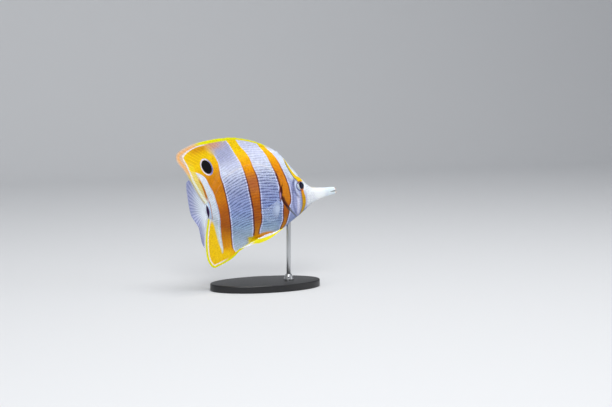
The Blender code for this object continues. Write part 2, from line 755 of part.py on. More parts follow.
def finish(name, colour, roughness=0.45, metallic=0.0):
    """One material of its own for the part of this name."""
    material = bpy.data.materials.new(name)
    material.use_nodes = True
    shader = material.node_tree.nodes["Principled BSDF"]
    shader.inputs["Base Color"].default_value = (*colour, 1)
    shader.inputs["Roughness"].default_value = roughness
    shader.inputs["Metallic"].default_value = metallic
    part = bpy.data.objects[name]
    part.data.materials.clear()
    part.data.materials.append(material)
    part.data.shade_smooth()
    part.data.set_sharp_from_angle(angle=math.radians(40))


def colour_parts():
    white, yellow, orange = (0.85, 0.86, 0.9), (0.95, 0.72, 0.06), (0.85, 0.45, 0.05)
    for name in ("head", "snout", "upper_jaw", "lower_jaw", "torso", "tail_stalk"):
        finish(name, white)
    for word in SIDES:
        finish("gill_cover_" + word, orange)
        finish("eye_" + word, (0.01, 0.01, 0.02), roughness=0.08)
        finish("pectoral_fin_" + word, white)
        finish("pelvic_fin_" + word, yellow)
    finish("dorsal_fin", yellow)
    finish("anal_fin", yellow)
    finish("tail_fin", white)
    finish("stand_base", (0.02, 0.02, 0.02), roughness=0.35)
    finish("stand_collar", (0.6, 0.6, 0.6), roughness=0.3, metallic=1.0)
    finish("stand_rod", (0.6, 0.6, 0.6), roughness=0.3, metallic=1.0)


def build():
    clear_scene()
    parts = collection("copperband_butterflyfish")
    cutters = collection("cutters")
    part_body(parts, cutters)
    shape_head(parts, cutters)
    clearance = make_cutter(body_loft("body_clearance", cutters, grow=GAP))
    median_fin("dorsal_fin", top_line, 1, DORSAL_BASE_X, DORSAL_OUTLINE,
               (DORSAL_SPINES, DORSAL_RAYS, DORSAL_SPINE_SHARE), DORSAL_LEAN, parts)
    median_fin("anal_fin", bottom_line, -1, ANAL_BASE_X, ANAL_OUTLINE,
               (ANAL_SPINES, ANAL_RAYS, ANAL_SPINE_SHARE), ANAL_LEAN, parts)
    tail_fin(parts)
    for word in SIDES:
        pectoral_fin("pectoral_fin_" + word, word, parts, clearance)
        pelvic_fin("pelvic_fin_" + word, word, parts, clearance)
    stand(parts, clearance)
    colour_parts()


build()
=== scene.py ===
# Copperband butterflyfish: a life-size museum model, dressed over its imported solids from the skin
# outwards, with its fins, eyes and stand.
#
# Fish places are in millimetres: x forward to the snout, y to the fish's left, z up, from the middle
# of the tail's root. posed() turns them into the model's own frame in metres.
import math

import bmesh
import bpy
import numpy as np
from mathutils import Matrix, Vector


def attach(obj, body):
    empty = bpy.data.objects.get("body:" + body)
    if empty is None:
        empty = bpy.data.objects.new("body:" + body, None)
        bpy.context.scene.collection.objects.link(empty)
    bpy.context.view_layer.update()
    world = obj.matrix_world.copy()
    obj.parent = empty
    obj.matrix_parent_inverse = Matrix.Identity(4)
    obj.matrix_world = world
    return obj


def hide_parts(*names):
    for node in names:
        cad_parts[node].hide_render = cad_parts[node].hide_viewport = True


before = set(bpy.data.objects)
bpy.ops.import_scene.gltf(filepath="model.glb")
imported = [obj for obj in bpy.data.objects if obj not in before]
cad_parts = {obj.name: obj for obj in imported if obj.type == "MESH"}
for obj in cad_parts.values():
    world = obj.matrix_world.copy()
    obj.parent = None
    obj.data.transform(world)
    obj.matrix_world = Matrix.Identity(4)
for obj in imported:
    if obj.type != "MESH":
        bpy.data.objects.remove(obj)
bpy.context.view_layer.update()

# The pose
# The fish swims with its nose a little up, and its tail swings to its own right. The midline bends
# like a real back bone, and a fin turns with the stretch of midline that it grows from.

PITCH = math.radians(10.5)
ORIGIN_FORWARD, ORIGIN_HEIGHT = -51.5, 78
TAIL_SWING = [(-32, 43), (-14, 36), (-6, 25), (0, 13), (8, 4), (18, 0), (140, 0)]
SWING_FRONT, SWING_REAR, SWING_STEP = 20, -36, 0.25


def smooth_line(points):
    """A function through the points that bends smoothly and never overshoots them."""
    xs, ys = np.array(points, float).T
    steps = np.diff(xs)
    rises = np.diff(ys) / steps
    slopes = np.zeros(len(xs))
    slopes[0], slopes[-1] = rises[0], rises[-1]
    for i in range(1, len(rises)):
        if rises[i - 1] * rises[i] > 0:
            before, after = 2 * steps[i] + steps[i - 1], steps[i] + 2 * steps[i - 1]
            slopes[i] = (before + after) / (before / rises[i - 1] + after / rises[i])

    def value(x):
        x = np.clip(x, xs[0], xs[-1])
        i = np.clip(np.searchsorted(xs, x, side="right") - 1, 0, len(steps) - 1)
        t = (x - xs[i]) / steps[i]
        return (ys[i] * (1 + 2 * t) * (1 - t) ** 2 + slopes[i] * steps[i] * t * (1 - t) ** 2
                + ys[i + 1] * t * t * (3 - 2 * t) + slopes[i + 1] * steps[i] * t * t * (t - 1))

    return value


def fade(value, low, high):
    """0 below low, 1 above high, and smooth between; low may be the greater."""
    t = np.clip((value - low) / (high - low), 0, 1)
    return t * t * (3 - 2 * t)


swing_x = np.arange(SWING_FRONT, SWING_REAR, -SWING_STEP)
swing_turn = np.radians(smooth_line(TAIL_SWING)(swing_x))
swing_line_x = SWING_FRONT - np.concatenate([[0], np.cumsum(np.cos(swing_turn[:-1]) * SWING_STEP)])
swing_line_y = -np.concatenate([[0], np.cumsum(np.sin(swing_turn[:-1]) * SWING_STEP)])


def posed(points, root_x=None):
    """Fish places as points of the posed model; a fin's point turns with the midline at its root."""
    x, y, z = np.moveaxis(np.asarray(points, float), -1, 0)
    root = x if root_x is None else np.broadcast_to(root_x, x.shape)
    line_x, line_y, turn = (np.interp(root, swing_x[::-1], values[::-1])
                            for values in (swing_line_x, swing_line_y, swing_turn))
    line_x = np.where(root < SWING_FRONT, line_x, root)
    swung_x = line_x + (x - root) * np.cos(turn) - y * np.sin(turn)
    swung_y = line_y + (x - root) * np.sin(turn) + y * np.cos(turn)
    return 0.001 * np.stack([swung_x * math.cos(PITCH) - z * math.sin(PITCH) + ORIGIN_FORWARD, swung_y,
                             swung_x * math.sin(PITCH) + z * math.cos(PITCH) + ORIGIN_HEIGHT], axis=-1)


# Camera
# It looks at the fish's right flank from a little behind and above, as far off as puts the middle of
# the tail's root at its own place in the photograph's frame of 612 by 407.

PICTURE = (612, 407)
TAIL_ROOT_PIXEL = (207, 211)
PIXEL_SIZE = 0.0009566
CAMERA_TURN, CAMERA_RISE = math.radians(22), math.radians(6)
LENS, SENSOR = 85, 36

back = Vector((-math.sin(CAMERA_TURN) * math.cos(CAMERA_RISE),
               -math.cos(CAMERA_TURN) * math.cos(CAMERA_RISE), math.sin(CAMERA_RISE)))
right = Vector((math.cos(CAMERA_TURN), -math.sin(CAMERA_TURN), 0))
aim = Vector(posed((0, 0, 0), root_x=SWING_FRONT))
aim += right * (PICTURE[0] / 2 - TAIL_ROOT_PIXEL[0]) * PIXEL_SIZE
aim -= back.cross(right) * (PICTURE[1] / 2 - TAIL_ROOT_PIXEL[1]) * PIXEL_SIZE
camera = bpy.data.objects.new("camera", bpy.data.cameras.new("camera"))
bpy.context.scene.collection.objects.link(camera)
camera.data.lens, camera.data.sensor_width = LENS, SENSOR
camera.location = aim + back * (PICTURE[0] * PIXEL_SIZE * LENS / SENSOR)
camera.rotation_euler = (-back).to_track_quat("-Z", "Y").to_euler()
bpy.context.scene.camera = camera

# Room
# A plain pale sweep of card under and behind the stand, and three soft lights: a wide one above, a
# key from the camera's left, and a weak fill from its right.

CARD_SIZE, CARD_BACK, CARD_HEIGHT, CARD_BEND = 6.0, 1.8, 3.0, 0.6
LIT_PLACE = Vector((0, 0, 0.08))
# Each light's place, size and power
LIGHTS = {"light_above": ((0.1, -0.3, 1.5), 0.9, 14), "light_key": ((-0.5, -1.3, 1.1), 0.6, 11),
          "light_fill": ((1.4, -0.9, 0.5), 1.0, 3)}


def plain_material(name, colour, roughness):
    """One colour and one roughness all over."""
    made = bpy.data.materials.new(name)
    made.use_nodes = True
    shader = made.node_tree.nodes["Principled BSDF"]
    shader.inputs["Base Color"].default_value = (*colour, 1)
    shader.inputs["Roughness"].default_value = roughness
    return made


def select_only(piece):
    bpy.ops.object.select_all(action="DESELECT")
    piece.select_set(True)
    bpy.context.view_layer.objects.active = piece


bpy.ops.object.select_all(action="DESELECT")
bpy.ops.mesh.primitive_plane_add(size=CARD_SIZE, location=(0, CARD_BACK - CARD_SIZE / 2, 0))
card = bpy.context.object
card.name = "backdrop_card"
bpy.ops.object.transform_apply(location=True)
bpy.ops.object.mode_set(mode="EDIT")
bpy.ops.mesh.select_all(action="DESELECT")
bpy.ops.object.mode_set(mode="OBJECT")
for vertex in card.data.vertices:
    vertex.select = vertex.co.y > CARD_BACK - 0.01
for edge in card.data.edges:
    edge.select = all(card.data.vertices[i].select for i in edge.vertices)
bpy.ops.object.mode_set(mode="EDIT")
bpy.ops.mesh.extrude_region_move(TRANSFORM_OT_translate={"value": (0, 0, CARD_HEIGHT)})
bpy.ops.object.mode_set(mode="OBJECT")
bend = card.modifiers.new("bend", "BEVEL")
bend.width, bend.segments = CARD_BEND, 24
bpy.ops.object.modifier_apply(modifier="bend")
bpy.ops.object.shade_smooth()
card.data.materials.append(plain_material("pale_card", (0.74, 0.75, 0.76), 0.9))

for name, (place, size, power) in LIGHTS.items():
    light = bpy.data.objects.new(name, bpy.data.lights.new(name, "AREA"))
    bpy.context.scene.collection.objects.link(light)
    light.data.size, light.data.energy = size, power
    light.location = place
    light.rotation_euler = (LIT_PLACE - Vector(place)).to_track_quat("-Z", "Y").to_euler()
world = bpy.data.worlds.new("studio")
bpy.context.scene.world = world
world.use_nodes = True
world.node_tree.nodes["Background"].inputs["Color"].default_value = (0.9, 0.93, 1.0, 1)
world.node_tree.nodes["Background"].inputs["Strength"].default_value = 0.32
bpy.context.scene.view_settings.view_transform = "Standard"

# Skin
# One skin covers head, snout, jaws, gill covers, trunk and tail stalk. It is lofted along the fish
# from its side and top outlines, opens at the mouth, and folds under the rear edge of each gill cover.

BODY_TOP = [(-3, 6.4), (0, 7.0), (4, 12.4), (9, 22.0), (16, 32.4), (26, 40.6), (38, 45.4), (50, 47.2),
            (62, 46.9), (72.4, 44.4), (80.3, 40.0), (85.6, 34.4), (89.4, 28.3), (97.1, 15.4), (102.5, 6.7),
            (105.7, 2.3), (109.5, -0.6), (116, -2.7), (128, -4.9), (132.4, -5.5), (133.8, -6.4),
            (134.6, -7.9)]
BODY_BOTTOM = [(-3, -6.2), (0, -6.8), (5, -9.8), (12, -16.6), (22, -25.0), (34, -32.4), (44, -36.6),
               (54, -37.8), (62, -37.2), (69.9, -35.0), (79.5, -30.4), (89.6, -25.8), (98.2, -21.3),
               (102.8, -18.6), (106.8, -16.4), (111.6, -14.7), (120, -13.4), (128, -12.8), (132.4, -13.0),
               (133.8, -12.5), (134.6, -11.4)]
HALF_WIDTH = [(-3, 1.9), (0, 2.6), (6, 3.3), (15, 4.4), (30, 6.8), (45, 9.2), (60, 11.0), (74, 11.4),
              (84, 10.4), (92, 9.0), (98, 7.6), (103, 6.1), (108, 4.5), (115, 3.2), (122, 2.6), (130, 2.3),
              (132.3, 2.6), (133.7, 2.3), (134.6, 1.3)]
WIDEST_HEIGHT = [(-3, 0), (20, 1), (40, 2), (60, 0), (80, -2), (95, -3), (105, -6), (120, -8.2),
                 (134.6, -9.7)]
CLOSING = [(-3, 1.0), (15, 1.2), (60, 1.2), (90, 1.05), (110, 0.95), (134.6, 0.85)]
RIDGE_HALF_WIDTH = [(-3, 0.9), (0, 1.2), (78, 1.2), (90, 0.6), (134.6, 0.3)]
COAT_DEPTH = [(-3, 0.2), (70, 0.25), (95, 0.18), (108, 0.05), (134.6, 0.02)]
top_line, bottom_line, half_width, widest_height, closing, ridge_half_width, coat_depth = (
    smooth_line(points) for points in (BODY_TOP, BODY_BOTTOM, HALF_WIDTH, WIDEST_HEIGHT, CLOSING,
                                       RIDGE_HALF_WIDTH, COAT_DEPTH))

MOUTH_CORNER_X, MOUTH_CORNER_Z, SLOPE_BEHIND, SLOPE_AHEAD = 127.2, -9.2, -0.5 / 6.2, 0.02
MOUTH_OPENING_TIP, ROOF_ARCH, FLOOR_DIP, ARCH_IN = 0.85, 1.3, -0.9, 2.5
SNOUT_TIP_X, UPPER_TIP_Z, LOWER_TIP_Z = 134.6, -8.1, -10.8

GILL_REST_X = 76
GILL_EDGE = [(-32, 91.2), (-24.3, 86.7), (-21, 84), (-17.4, 81.2), (-13, 78.2), (-8.9, 76), (-4.5, 74.4),
             (1, 74.2), (6, 75), (11, 76.9), (16, 78.5), (24, 79.5), (50, 79.5)]
GILL_LOW_Z, GILL_HIGH_Z = -27.0, 12.5
# Across the gill cover's rear edge, from the trunk forward: place from the edge, the same where the
# fold has run out, and how far the skin stands out there
GILL_FOLD = [(-2.4, -2.4, 0), (-1.6, -1.6, -0.03), (-1.0, -1.0, -0.12), (-0.6, -0.7, -0.3),
             (-0.25, -0.45, -0.55), (0.35, -0.25, -0.75), (0.5, -0.1, -0.6), (0.35, 0.0, -0.25),
             (0.05, 0.1, -0.02), (-0.04, 0.2, 0.16), (0.0, 0.35, 0.34), (0.18, 0.5, 0.48), (0.5, 0.75, 0.55),
             (1.1, 1.2, 0.58), (2.0, 2.0, 0.55), (3.2, 3.2, 0.47), (5.0, 5.0, 0.34), (7.0, 7.0, 0.2),
             (9.5, 9.5, 0.08)]
GILL_SHIFT = [(30, 0), (62, 0.75), (72, 1), (80, 1), (88, 0.6), (100, 0)]
CHEEK_FOLD = [(-20, 92.5), (-15, 89.2), (-8, 86.9), (0, 86.4), (7, 87.8), (12, 90.5)]
gill_edge, gill_shift, cheek_fold = smooth_line(GILL_EDGE), smooth_line(GILL_SHIFT), smooth_line(CHEEK_FOLD)
gill_lift = smooth_line([(place, out) for place, _, out in GILL_FOLD[10:]] + [(14, 0)])

EYE_X, EYE_Z = 95.7, 4.0
LOWER_COLUMNS, UPPER_COLUMNS, MOUTH_COLUMNS = 50, 64, 10
SIDES = {"right": -1, "left": 1}


def gill_strength(z):
    """1 along the gill cover's free rear edge, running out at its ends."""
    return fade(z, GILL_LOW_Z - 1, GILL_LOW_Z + 13) * fade(z, GILL_HIGH_Z, GILL_HIGH_Z - 4)


def ridge_reach(x, above):
    """How far the ridge of the back, or of the belly, lies from the body's widest line."""
    return np.where(above, top_line(x) - widest_height(x), widest_height(x) - bottom_line(x))


def body_point(x, angle, side):
    """The body's surface, where angle runs from the belly's ridge up to the back's."""
    ridge = ridge_half_width(x)
    across = ridge + (half_width(x) - ridge) * np.clip(np.cos(angle), 0, 1) ** closing(x)
    height = widest_height(x) + ridge_reach(x, angle > 0) * np.sin(angle)
    return np.stack([x + 0 * angle, side * across, height], axis=-1)


def flank(x, z):
    """Half the body's width at this place in the side view."""
    off = z - widest_height(x)
    level = np.clip(np.abs(off) / ridge_reach(x, off > 0), 0, 1)
    ridge = ridge_half_width(x)
    return ridge + (half_width(x) - ridge) * (1 - level * level) ** (closing(x) / 2)


def unit(vectors):
    """The same ways, each of length 1."""
    return vectors / np.linalg.norm(vectors, axis=-1, keepdims=True)


def body_normal(x, angle, side):
    """The way out of the body's surface, found from two small steps along it."""
    step = 0.02
    along = body_point(x + step, angle, side) - body_point(x - step, angle, side)
    around = body_point(x, angle + step, side) - body_point(x, angle - step, side)
    return unit(np.cross(along, around) * -side)


def bell(value, half):
    """1 at 0, falling off smoothly on both sides."""
    return np.exp(-((value / half) ** 2))


def face_relief(x, z):
    """How far the skin of the face stands out of the smooth form: socket, rims and folds."""
    from_eye = np.hypot(x - EYE_X, z - EYE_Z)
    behind_eye = fade(x, EYE_X + 1, EYE_X - 4) * fade(z, -7, -3) * fade(z, 13, 9)
    jaw_fold_z = MOUTH_CORNER_Z - 0.05 * (x - MOUTH_CORNER_X)
    return (-2.3 * fade(from_eye, 5.0, 4.2) + 0.28 * bell(from_eye - 5.5, 0.45)
            - 0.3 * bell(from_eye - 6.9, 0.5) * behind_eye
            - 0.22 * bell(x - cheek_fold(z), 0.55) * fade(z, -21, -17) * fade(z, 12, 8)
            - 0.12 * bell(z - jaw_fold_z, 0.35) * fade(x, 119, 123) * fade(x, 128.6, 127))


def mouth_height(x):
    """The height of the line between the lips."""
    ahead = x - MOUTH_CORNER_X
    return MOUTH_CORNER_Z + SLOPE_BEHIND * np.minimum(ahead, 0) + SLOPE_AHEAD * np.maximum(ahead, 0)


def grid_piece(name, points):
    """A sheet of quads through rows and columns of points, made from Blender's own grid."""
    rows, columns = points.shape[:2]
    bpy.ops.object.select_all(action="DESELECT")
    bpy.ops.mesh.primitive_grid_add(x_subdivisions=columns - 1, y_subdivisions=rows - 1, size=1,
                                    calc_uvs=False)
    piece = bpy.context.object
    piece.name = piece.data.name = name
    piece.data.vertices.foreach_set("co", points.reshape(-1))
    piece.data.update()
    return piece


def remember(piece, name, values):
    """Keeps a number or a vector for each point of a piece, which its material reads."""
    values = np.asarray(values, float)
    vector = values.ndim > 1 and values.shape[-1] == 3
    kind, field = ("FLOAT_VECTOR", "vector") if vector else ("FLOAT", "value")
    piece.data.attributes.new(name, kind, "POINT").data.foreach_set(field, values.reshape(-1))


def join(pieces):
    select_only(pieces[0])
    for piece in pieces:
        piece.select_set(True)
    bpy.ops.object.join()
    return pieces[0]


def close_seams(piece):
    """Merges the points that meet, fills the open ends and faces the shell outwards."""
    select_only(piece)
    bpy.ops.object.mode_set(mode="EDIT")
    bpy.ops.mesh.select_all(action="SELECT")
    bpy.ops.mesh.remove_doubles(threshold=2e-6)
    bpy.ops.mesh.select_all(action="SELECT")
    bpy.ops.mesh.fill_holes(sides=0)
    bpy.ops.mesh.select_all(action="SELECT")
    bpy.ops.mesh.normals_make_consistent(inside=False)
    bpy.ops.object.mode_set(mode="OBJECT")
    shell = bmesh.new()
    shell.from_mesh(piece.data)
    if shell.calc_volume(signed=True) < 0:
        bmesh.ops.reverse_faces(shell, faces=shell.faces)
        shell.to_mesh(piece.data)
    shell.free()
    bpy.ops.object.shade_smooth()


def finished(piece, material, slot, *nodes):
    """Gives a piece its finish, and says which nodes of the solids it stands for."""
    piece.data.materials.append(material)
    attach(piece, "root")
    if nodes:
        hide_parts(*nodes)


# Stations along the skin: x at rest, x where the gill fold runs, and how far it stands out there
plain_x = [np.linspace(-3, 72, 80), np.arange(86.2, 103.0, 0.42), np.linspace(103.2, MOUTH_CORNER_X, 32),
           np.linspace(127.5, 133.4, 16), (133.7, 134.0, 134.3, SNOUT_TIP_X)]
stations = [(x, x, 0.0) for x in plain_x[0]]
stations += [(GILL_REST_X + flat, GILL_REST_X + folded, out) for folded, flat, out in GILL_FOLD]
stations += [(x, x, 0.0) for x in np.concatenate(plain_x[1:])]
rest_x, folded_x, fold_out = np.array(stations).T


def skin_grid(side):
    """One flank of the skin, belly to back, as rows of points along the fish, with the lips apart."""
    widest = widest_height(rest_x)
    split_z = widest + fade(rest_x, 110, 121) * (mouth_height(rest_x) - widest)
    to_tip = np.clip((rest_x - MOUTH_CORNER_X) / (SNOUT_TIP_X - MOUTH_CORNER_X), 0, 1)
    angles = []
    for away, columns in ((-1, LOWER_COLUMNS), (1, UPPER_COLUMNS)):
        off = split_z + away * MOUTH_OPENING_TIP * to_tip**0.8 - widest
        split = np.arcsin(np.clip(off / ridge_reach(rest_x, off > 0), -0.98, 0.98))[:, None]
        part = np.linspace(0, 1, columns + 1)
        angles.append(split + part * (math.pi / 2 - split) if away > 0
                      else -math.pi / 2 + part * (split + math.pi / 2))
    angle = np.concatenate(angles, axis=1)
    x = np.repeat(rest_x[:, None], angle.shape[1], axis=1)
    weight = gill_shift(rest_x)[:, None]
    for _ in range(12):
        z = body_point(x, angle, side)[..., 2]
        x = 0.5 * x + 0.5 * (rest_x[:, None] + weight * (gill_edge(z) - GILL_REST_X))
    normal = body_normal(x, angle, side)
    strength = gill_strength(z)
    x = x + strength * (folded_x - rest_x)[:, None]
    points = body_point(x, angle, side)
    lip = bell(z - mouth_height(x), 0.8) * fade(x, 127.5, 130) * fade(x, 134.6, 133.8)
    out = strength * fold_out[:, None] + face_relief(x, z) + 0.22 * lip - coat_depth(x)
    return points + normal * out[..., None], strength * (fold_out < -0.2)[:, None]


def with_tip(points, tip_z):
    """Adds rings that draw the end of a jaw in to a point."""
    middle = np.stack(np.broadcast_arrays(SNOUT_TIP_X, 0.0, tip_z), axis=-1)
    rings = [middle + (points[-1] - middle) * (1, share, share) + (out, 0, 0)
             for share, out in ((0.85, 0.12), (0.6, 0.24), (0.3, 0.31), (0, 0.33))]
    return np.concatenate([points, np.array(rings)])


# Both flanks in one ring, with the strip of faces between the lips taken out
right_side, dark = skin_grid(-1)
left_side, _ = skin_grid(1)
ring = np.concatenate([right_side, left_side[:, ::-1], right_side[:, :1]], axis=1)
dark = np.concatenate([dark, dark[:, ::-1], dark[:, :1]], axis=1)
corner = int(np.argmin(np.abs(rest_x - MOUTH_CORNER_X)))
columns = ring.shape[1] - 1
tip_z = np.full(columns + 1, LOWER_TIP_Z)
tip_z[LOWER_COLUMNS + 1:columns - LOWER_COLUMNS - 1] = UPPER_TIP_Z
ring = with_tip(ring, tip_z)
skin = grid_piece("skin", posed(ring))
remember(skin, "place", ring)
remember(skin, "inside", np.concatenate([dark, np.zeros((4, columns + 1))]))
slits = (LOWER_COLUMNS, columns - LOWER_COLUMNS - 2)
bpy.ops.object.mode_set(mode="EDIT")
bpy.ops.mesh.select_mode(type="FACE")
bpy.ops.mesh.select_all(action="DESELECT")
bpy.ops.object.mode_set(mode="OBJECT")
for polygon in skin.data.polygons:
    polygon.select = polygon.index % columns in slits and polygon.index // columns >= corner
bpy.ops.object.mode_set(mode="EDIT")
bpy.ops.mesh.delete(type="FACE")
bpy.ops.mesh.select_mode(type="VERT")
bpy.ops.object.mode_set(mode="OBJECT")

# The roof and floor of the mouth, from lip to lip
across = np.linspace(0, 1, MOUTH_COLUMNS + 1)
arch = np.minimum((rest_x[corner:] - MOUTH_CORNER_X) / ARCH_IN, 1)[:, None] * np.sin(math.pi * across) ** 0.6
walls = [skin]
for name, column, height, tip_z in (("mouth_roof", LOWER_COLUMNS + 1, ROOF_ARCH, UPPER_TIP_Z),
                                    ("mouth_floor", LOWER_COLUMNS, FLOOR_DIP, LOWER_TIP_Z)):
    start, end = right_side[corner:, column, None], left_side[corner:, column, None]
    wall = start + (end - start) * across[:, None]
    wall[..., 2] += height * arch
    wall = with_tip(wall, tip_z)
    piece = grid_piece(name, posed(wall))
    remember(piece, "place", wall)
    inside = np.ones(wall.shape[:2]) * fade(np.arange(len(wall)), len(wall), len(wall) - 6)[:, None]
    inside[:, 0] = inside[:, -1] = 0
    remember(piece, "inside", inside)
    walls.append(piece)
skin = join(walls)
close_seams(skin)

# The markings
# White, painted darker and bluer low on the flank as painted shade of light from above, four copper
# bands, also painted darker low down, with dark edges between pale hairlines, a ringed false eye,
# yellow fin edges inside a white line, and a dark bar at the tail's root.
# Skin, scales and the dorsal and anal fins wear them, each reading its own fish place.

Z_RANGE, X_RANGE = (-60.0, 70.0), (-40.0, 140.0)


def srgb(*seen):
    """A colour as seen, from 0 to 255, as the light that Blender reckons in."""
    return tuple(((c / 255 + 0.055) / 1.055) ** 2.4 if c > 10 else c / 255 / 12.92 for c in seen)


class Wiring:
    """Adds nodes to one tree. Each call takes sockets or plain values and gives the new socket."""

    def __init__(self, tree):
        self.tree = tree

    def feed(self, socket, value):
        if isinstance(value, bpy.types.NodeSocket):
            self.tree.links.new(value, socket)
        elif isinstance(value, tuple) and len(value) == 3 and socket.type == "RGBA":
            socket.default_value = (*value, 1)
        else:
            socket.default_value = value

    def node(self, kind, given, output=0, **settings):
        """A new node's output, with these settings, fed with the given values by socket."""
        node = self.tree.nodes.new("ShaderNode" + kind)
        for name, setting in settings.items():
            setattr(node, name, setting)
        for socket, value in given.items():
            self.feed(node.inputs[socket], value)
        return node.outputs[output]

    def surface(self, given):
        """Feeds the material's shader with the given values by socket."""
        for socket, value in given.items():
            self.feed(self.tree.nodes["Principled BSDF"].inputs[socket], value)

    def math(self, operation, *values):
        return self.node("Math", dict(enumerate(values)), operation=operation)

    def times(self, product, *factors):
        for factor in factors:
            product = self.math("MULTIPLY", product, factor)
        return product

    def most(self, greatest, *others):
        for other in others:
            greatest = self.math("MAXIMUM", greatest, other)
        return greatest

    def linear(self, value, factor, plus):
        return self.math("MULTIPLY_ADD", value, factor, plus)

    def less(self, value, taken):
        return self.math("SUBTRACT", value, taken)

    def off(self, value, middle):
        """How far the value lies from the middle, on either side."""
        return self.math("ABSOLUTE", self.less(value, middle))

    def far(self, a, b):
        """The length of a line that goes a across and b up."""
        return self.math("SQRT", self.math("ADD", self.times(a, a), self.times(b, b)))

    def step(self, value, low, high):
        """0 below low, 1 above high, smooth between; low may be the greater."""
        given = {"Value": value, "From Min": min(low, high), "From Max": max(low, high),
                 "To Min": 1.0 if low > high else 0.0, "To Max": 0.0 if low > high else 1.0}
        return self.node("MapRange", given, "Result", interpolation_type="SMOOTHSTEP")

    def between(self, value, low, high, soft):
        """1 where the value lies between low and high."""
        return self.times(self.step(value, low - soft, low + soft),
                          self.step(value, high + soft, high - soft))

    def share(self, value, reads):
        """Where the value lies between two others, from 0 to 1."""
        span = reads[1] - reads[0]
        return self.linear(value, 1 / span, -reads[0] / span)

    def line(self, value, points, reads, gives):
        """A smooth curve through (read, given) points."""
        node = self.tree.nodes.new("ShaderNodeFloatCurve")
        spans = [((a - reads[0]) / (reads[1] - reads[0]), (b - gives[0]) / (gives[1] - gives[0]))
                 for a, b in points]
        curve = node.mapping.curves[0]
        for _ in range(len(spans) - 2):
            curve.points.new(0.5, 0.5)
        for point, span in zip(curve.points, sorted(spans)):
            point.location = span
            point.handle_type = "AUTO_CLAMPED"
        node.mapping.extend = "HORIZONTAL"
        node.mapping.update()
        self.feed(node.inputs["Value"], self.share(value, reads))
        return self.linear(node.outputs[0], gives[1] - gives[0], gives[0])

    def ramp(self, height, *stops):
        """A colour that changes with the height, from (height, red, green, blue) stops."""
        node = self.tree.nodes.new("ShaderNodeValToRGB")
        elements = node.color_ramp.elements
        while len(elements) < len(stops):
            elements.new(0.5)
        for element, (at, *colour) in zip(elements, sorted(stops)):
            element.position = (at - Z_RANGE[0]) / (Z_RANGE[1] - Z_RANGE[0])
            element.color = (*srgb(*colour), 1)
        self.feed(node.inputs["Fac"], self.share(height, Z_RANGE))
        return node.outputs["Color"]

    def mix(self, share, below, above, blend="MIX"):
        given = {0: share, 6: below, 7: above}
        return self.node("Mix", given, 2, data_type="RGBA", blend_type=blend)

    def noise(self, vector, size, detail=2.0, roughness=0.5):
        given = {"Vector": vector, "Scale": size, "Detail": detail, "Roughness": roughness}
        return self.node("TexNoise", given, "Fac")

    def scaled(self, vector, factors):
        return self.node("VectorMath", {0: vector, 1: factors}, operation="MULTIPLY")

    def split(self, vector):
        node = self.tree.nodes.new("ShaderNodeSeparateXYZ")
        self.feed(node.inputs[0], vector)
        return node.outputs

    def attribute(self, name, output="Fac"):
        return self.node("Attribute", {}, output, attribute_name=name)


# The three broad bands from the front, each by its rear and front edge as (height, x)
BANDS = (
    ([(-35, 69.0), (-33, 68.4), (-24.5, 71.6), (-17.6, 72.2), (-7.6, 73.6), (-1.5, 72.7), (7.9, 72.7),
      (19.6, 71.7), (30.7, 69.4), (41.8, 66.6), (51.5, 62.2), (58, 58.5)],
     [(-35, 68.5), (-33.9, 69.8), (-30.9, 74.1), (-23.4, 77.3), (-15.8, 79.4), (-13.4, 79.4), (-8.2, 82.1),
      (0.8, 83.1), (12.6, 82.1), (24.9, 79.5), (37.4, 75.6), (48.2, 69), (58, 61.5)]),
    ([(-42, 33.5), (-38, 38.5), (-33.6, 40.2), (-17.8, 41.9), (-3.9, 42.6), (11.2, 42.3), (22.9, 42),
      (36, 40.7), (47.1, 37.8), (57.9, 33.7), (66, 29.5)],
     [(-42, 50), (-38, 48.5), (-32.7, 46.6), (-19.7, 50.4), (-5.9, 51.5), (7.7, 52.8), (20.4, 53.2),
      (32.5, 51.2), (45.8, 48.7), (55.8, 43.1), (66, 39)]),
    ([(-60, -40), (-48, -40), (-46.5, 3), (-43, 8.2), (-34.8, 9.3), (-27.8, 9.4), (-16.4, 10.3),
      (-4.9, 10.6), (7, 9.6), (15.4, 8.8), (23.9, 6.6), (32.9, 3.3), (37.4, -1.8), (40.5, -8), (43.5, -18),
      (46, -40)],
     [(-60, 28), (-50, 24), (-44, 19.8), (-40.4, 18.8), (-35.8, 19), (-24.4, 20), (-12.9, 20.2),
      (-1.3, 20.5), (10.4, 20.2), (21, 19.7), (30.5, 18.9), (39.6, 19.4), (45.5, 18.7), (51, 16.8),
      (55, 14.4), (58, 12.2), (62, 9.6), (65, 5.5), (67.5, -4), (70, -20)]))
YELLOW_ANAL = [(-60, 8), (-46, 7.6), (-38, 6.6), (-33, 5.7), (-26, 4.9), (-20, 4.4), (-14.8, 3.9),
               (-11, 2.9), (-8.5, 1.0), (-5, -5)]
EYE_BAND = [(-27, 90.5), (-21.4, 93.7), (-14.7, 96.4), (-8.3, 97.1), (-2.2, 96.6), (5, 96.8), (9, 96.4),
            (11.2, 95.2), (14, 92.2), (17, 90.3), (20.1, 88.8), (26.4, 86.5), (30.6, 85.3), (36, 83.3)]
EYE_BAND_HALF = [(-27, 0.8), (-21, 1.6), (-15, 2.0), (-8, 2.1), (-2, 1.6), (5, 1.7), (9, 2.9), (11.2, 2.9),
                 (14, 2.0), (20, 1.4), (26, 1.15), (31, 0.7), (36, 0)]
ORANGE_LINE = [(6, 2.4), (8, 2.2), (15, 1.2), (20.5, 0.5), (25.5, -0.6), (29.5, -1.9), (34.6, -2.8),
               (38, -3.6), (42, -4.5)]
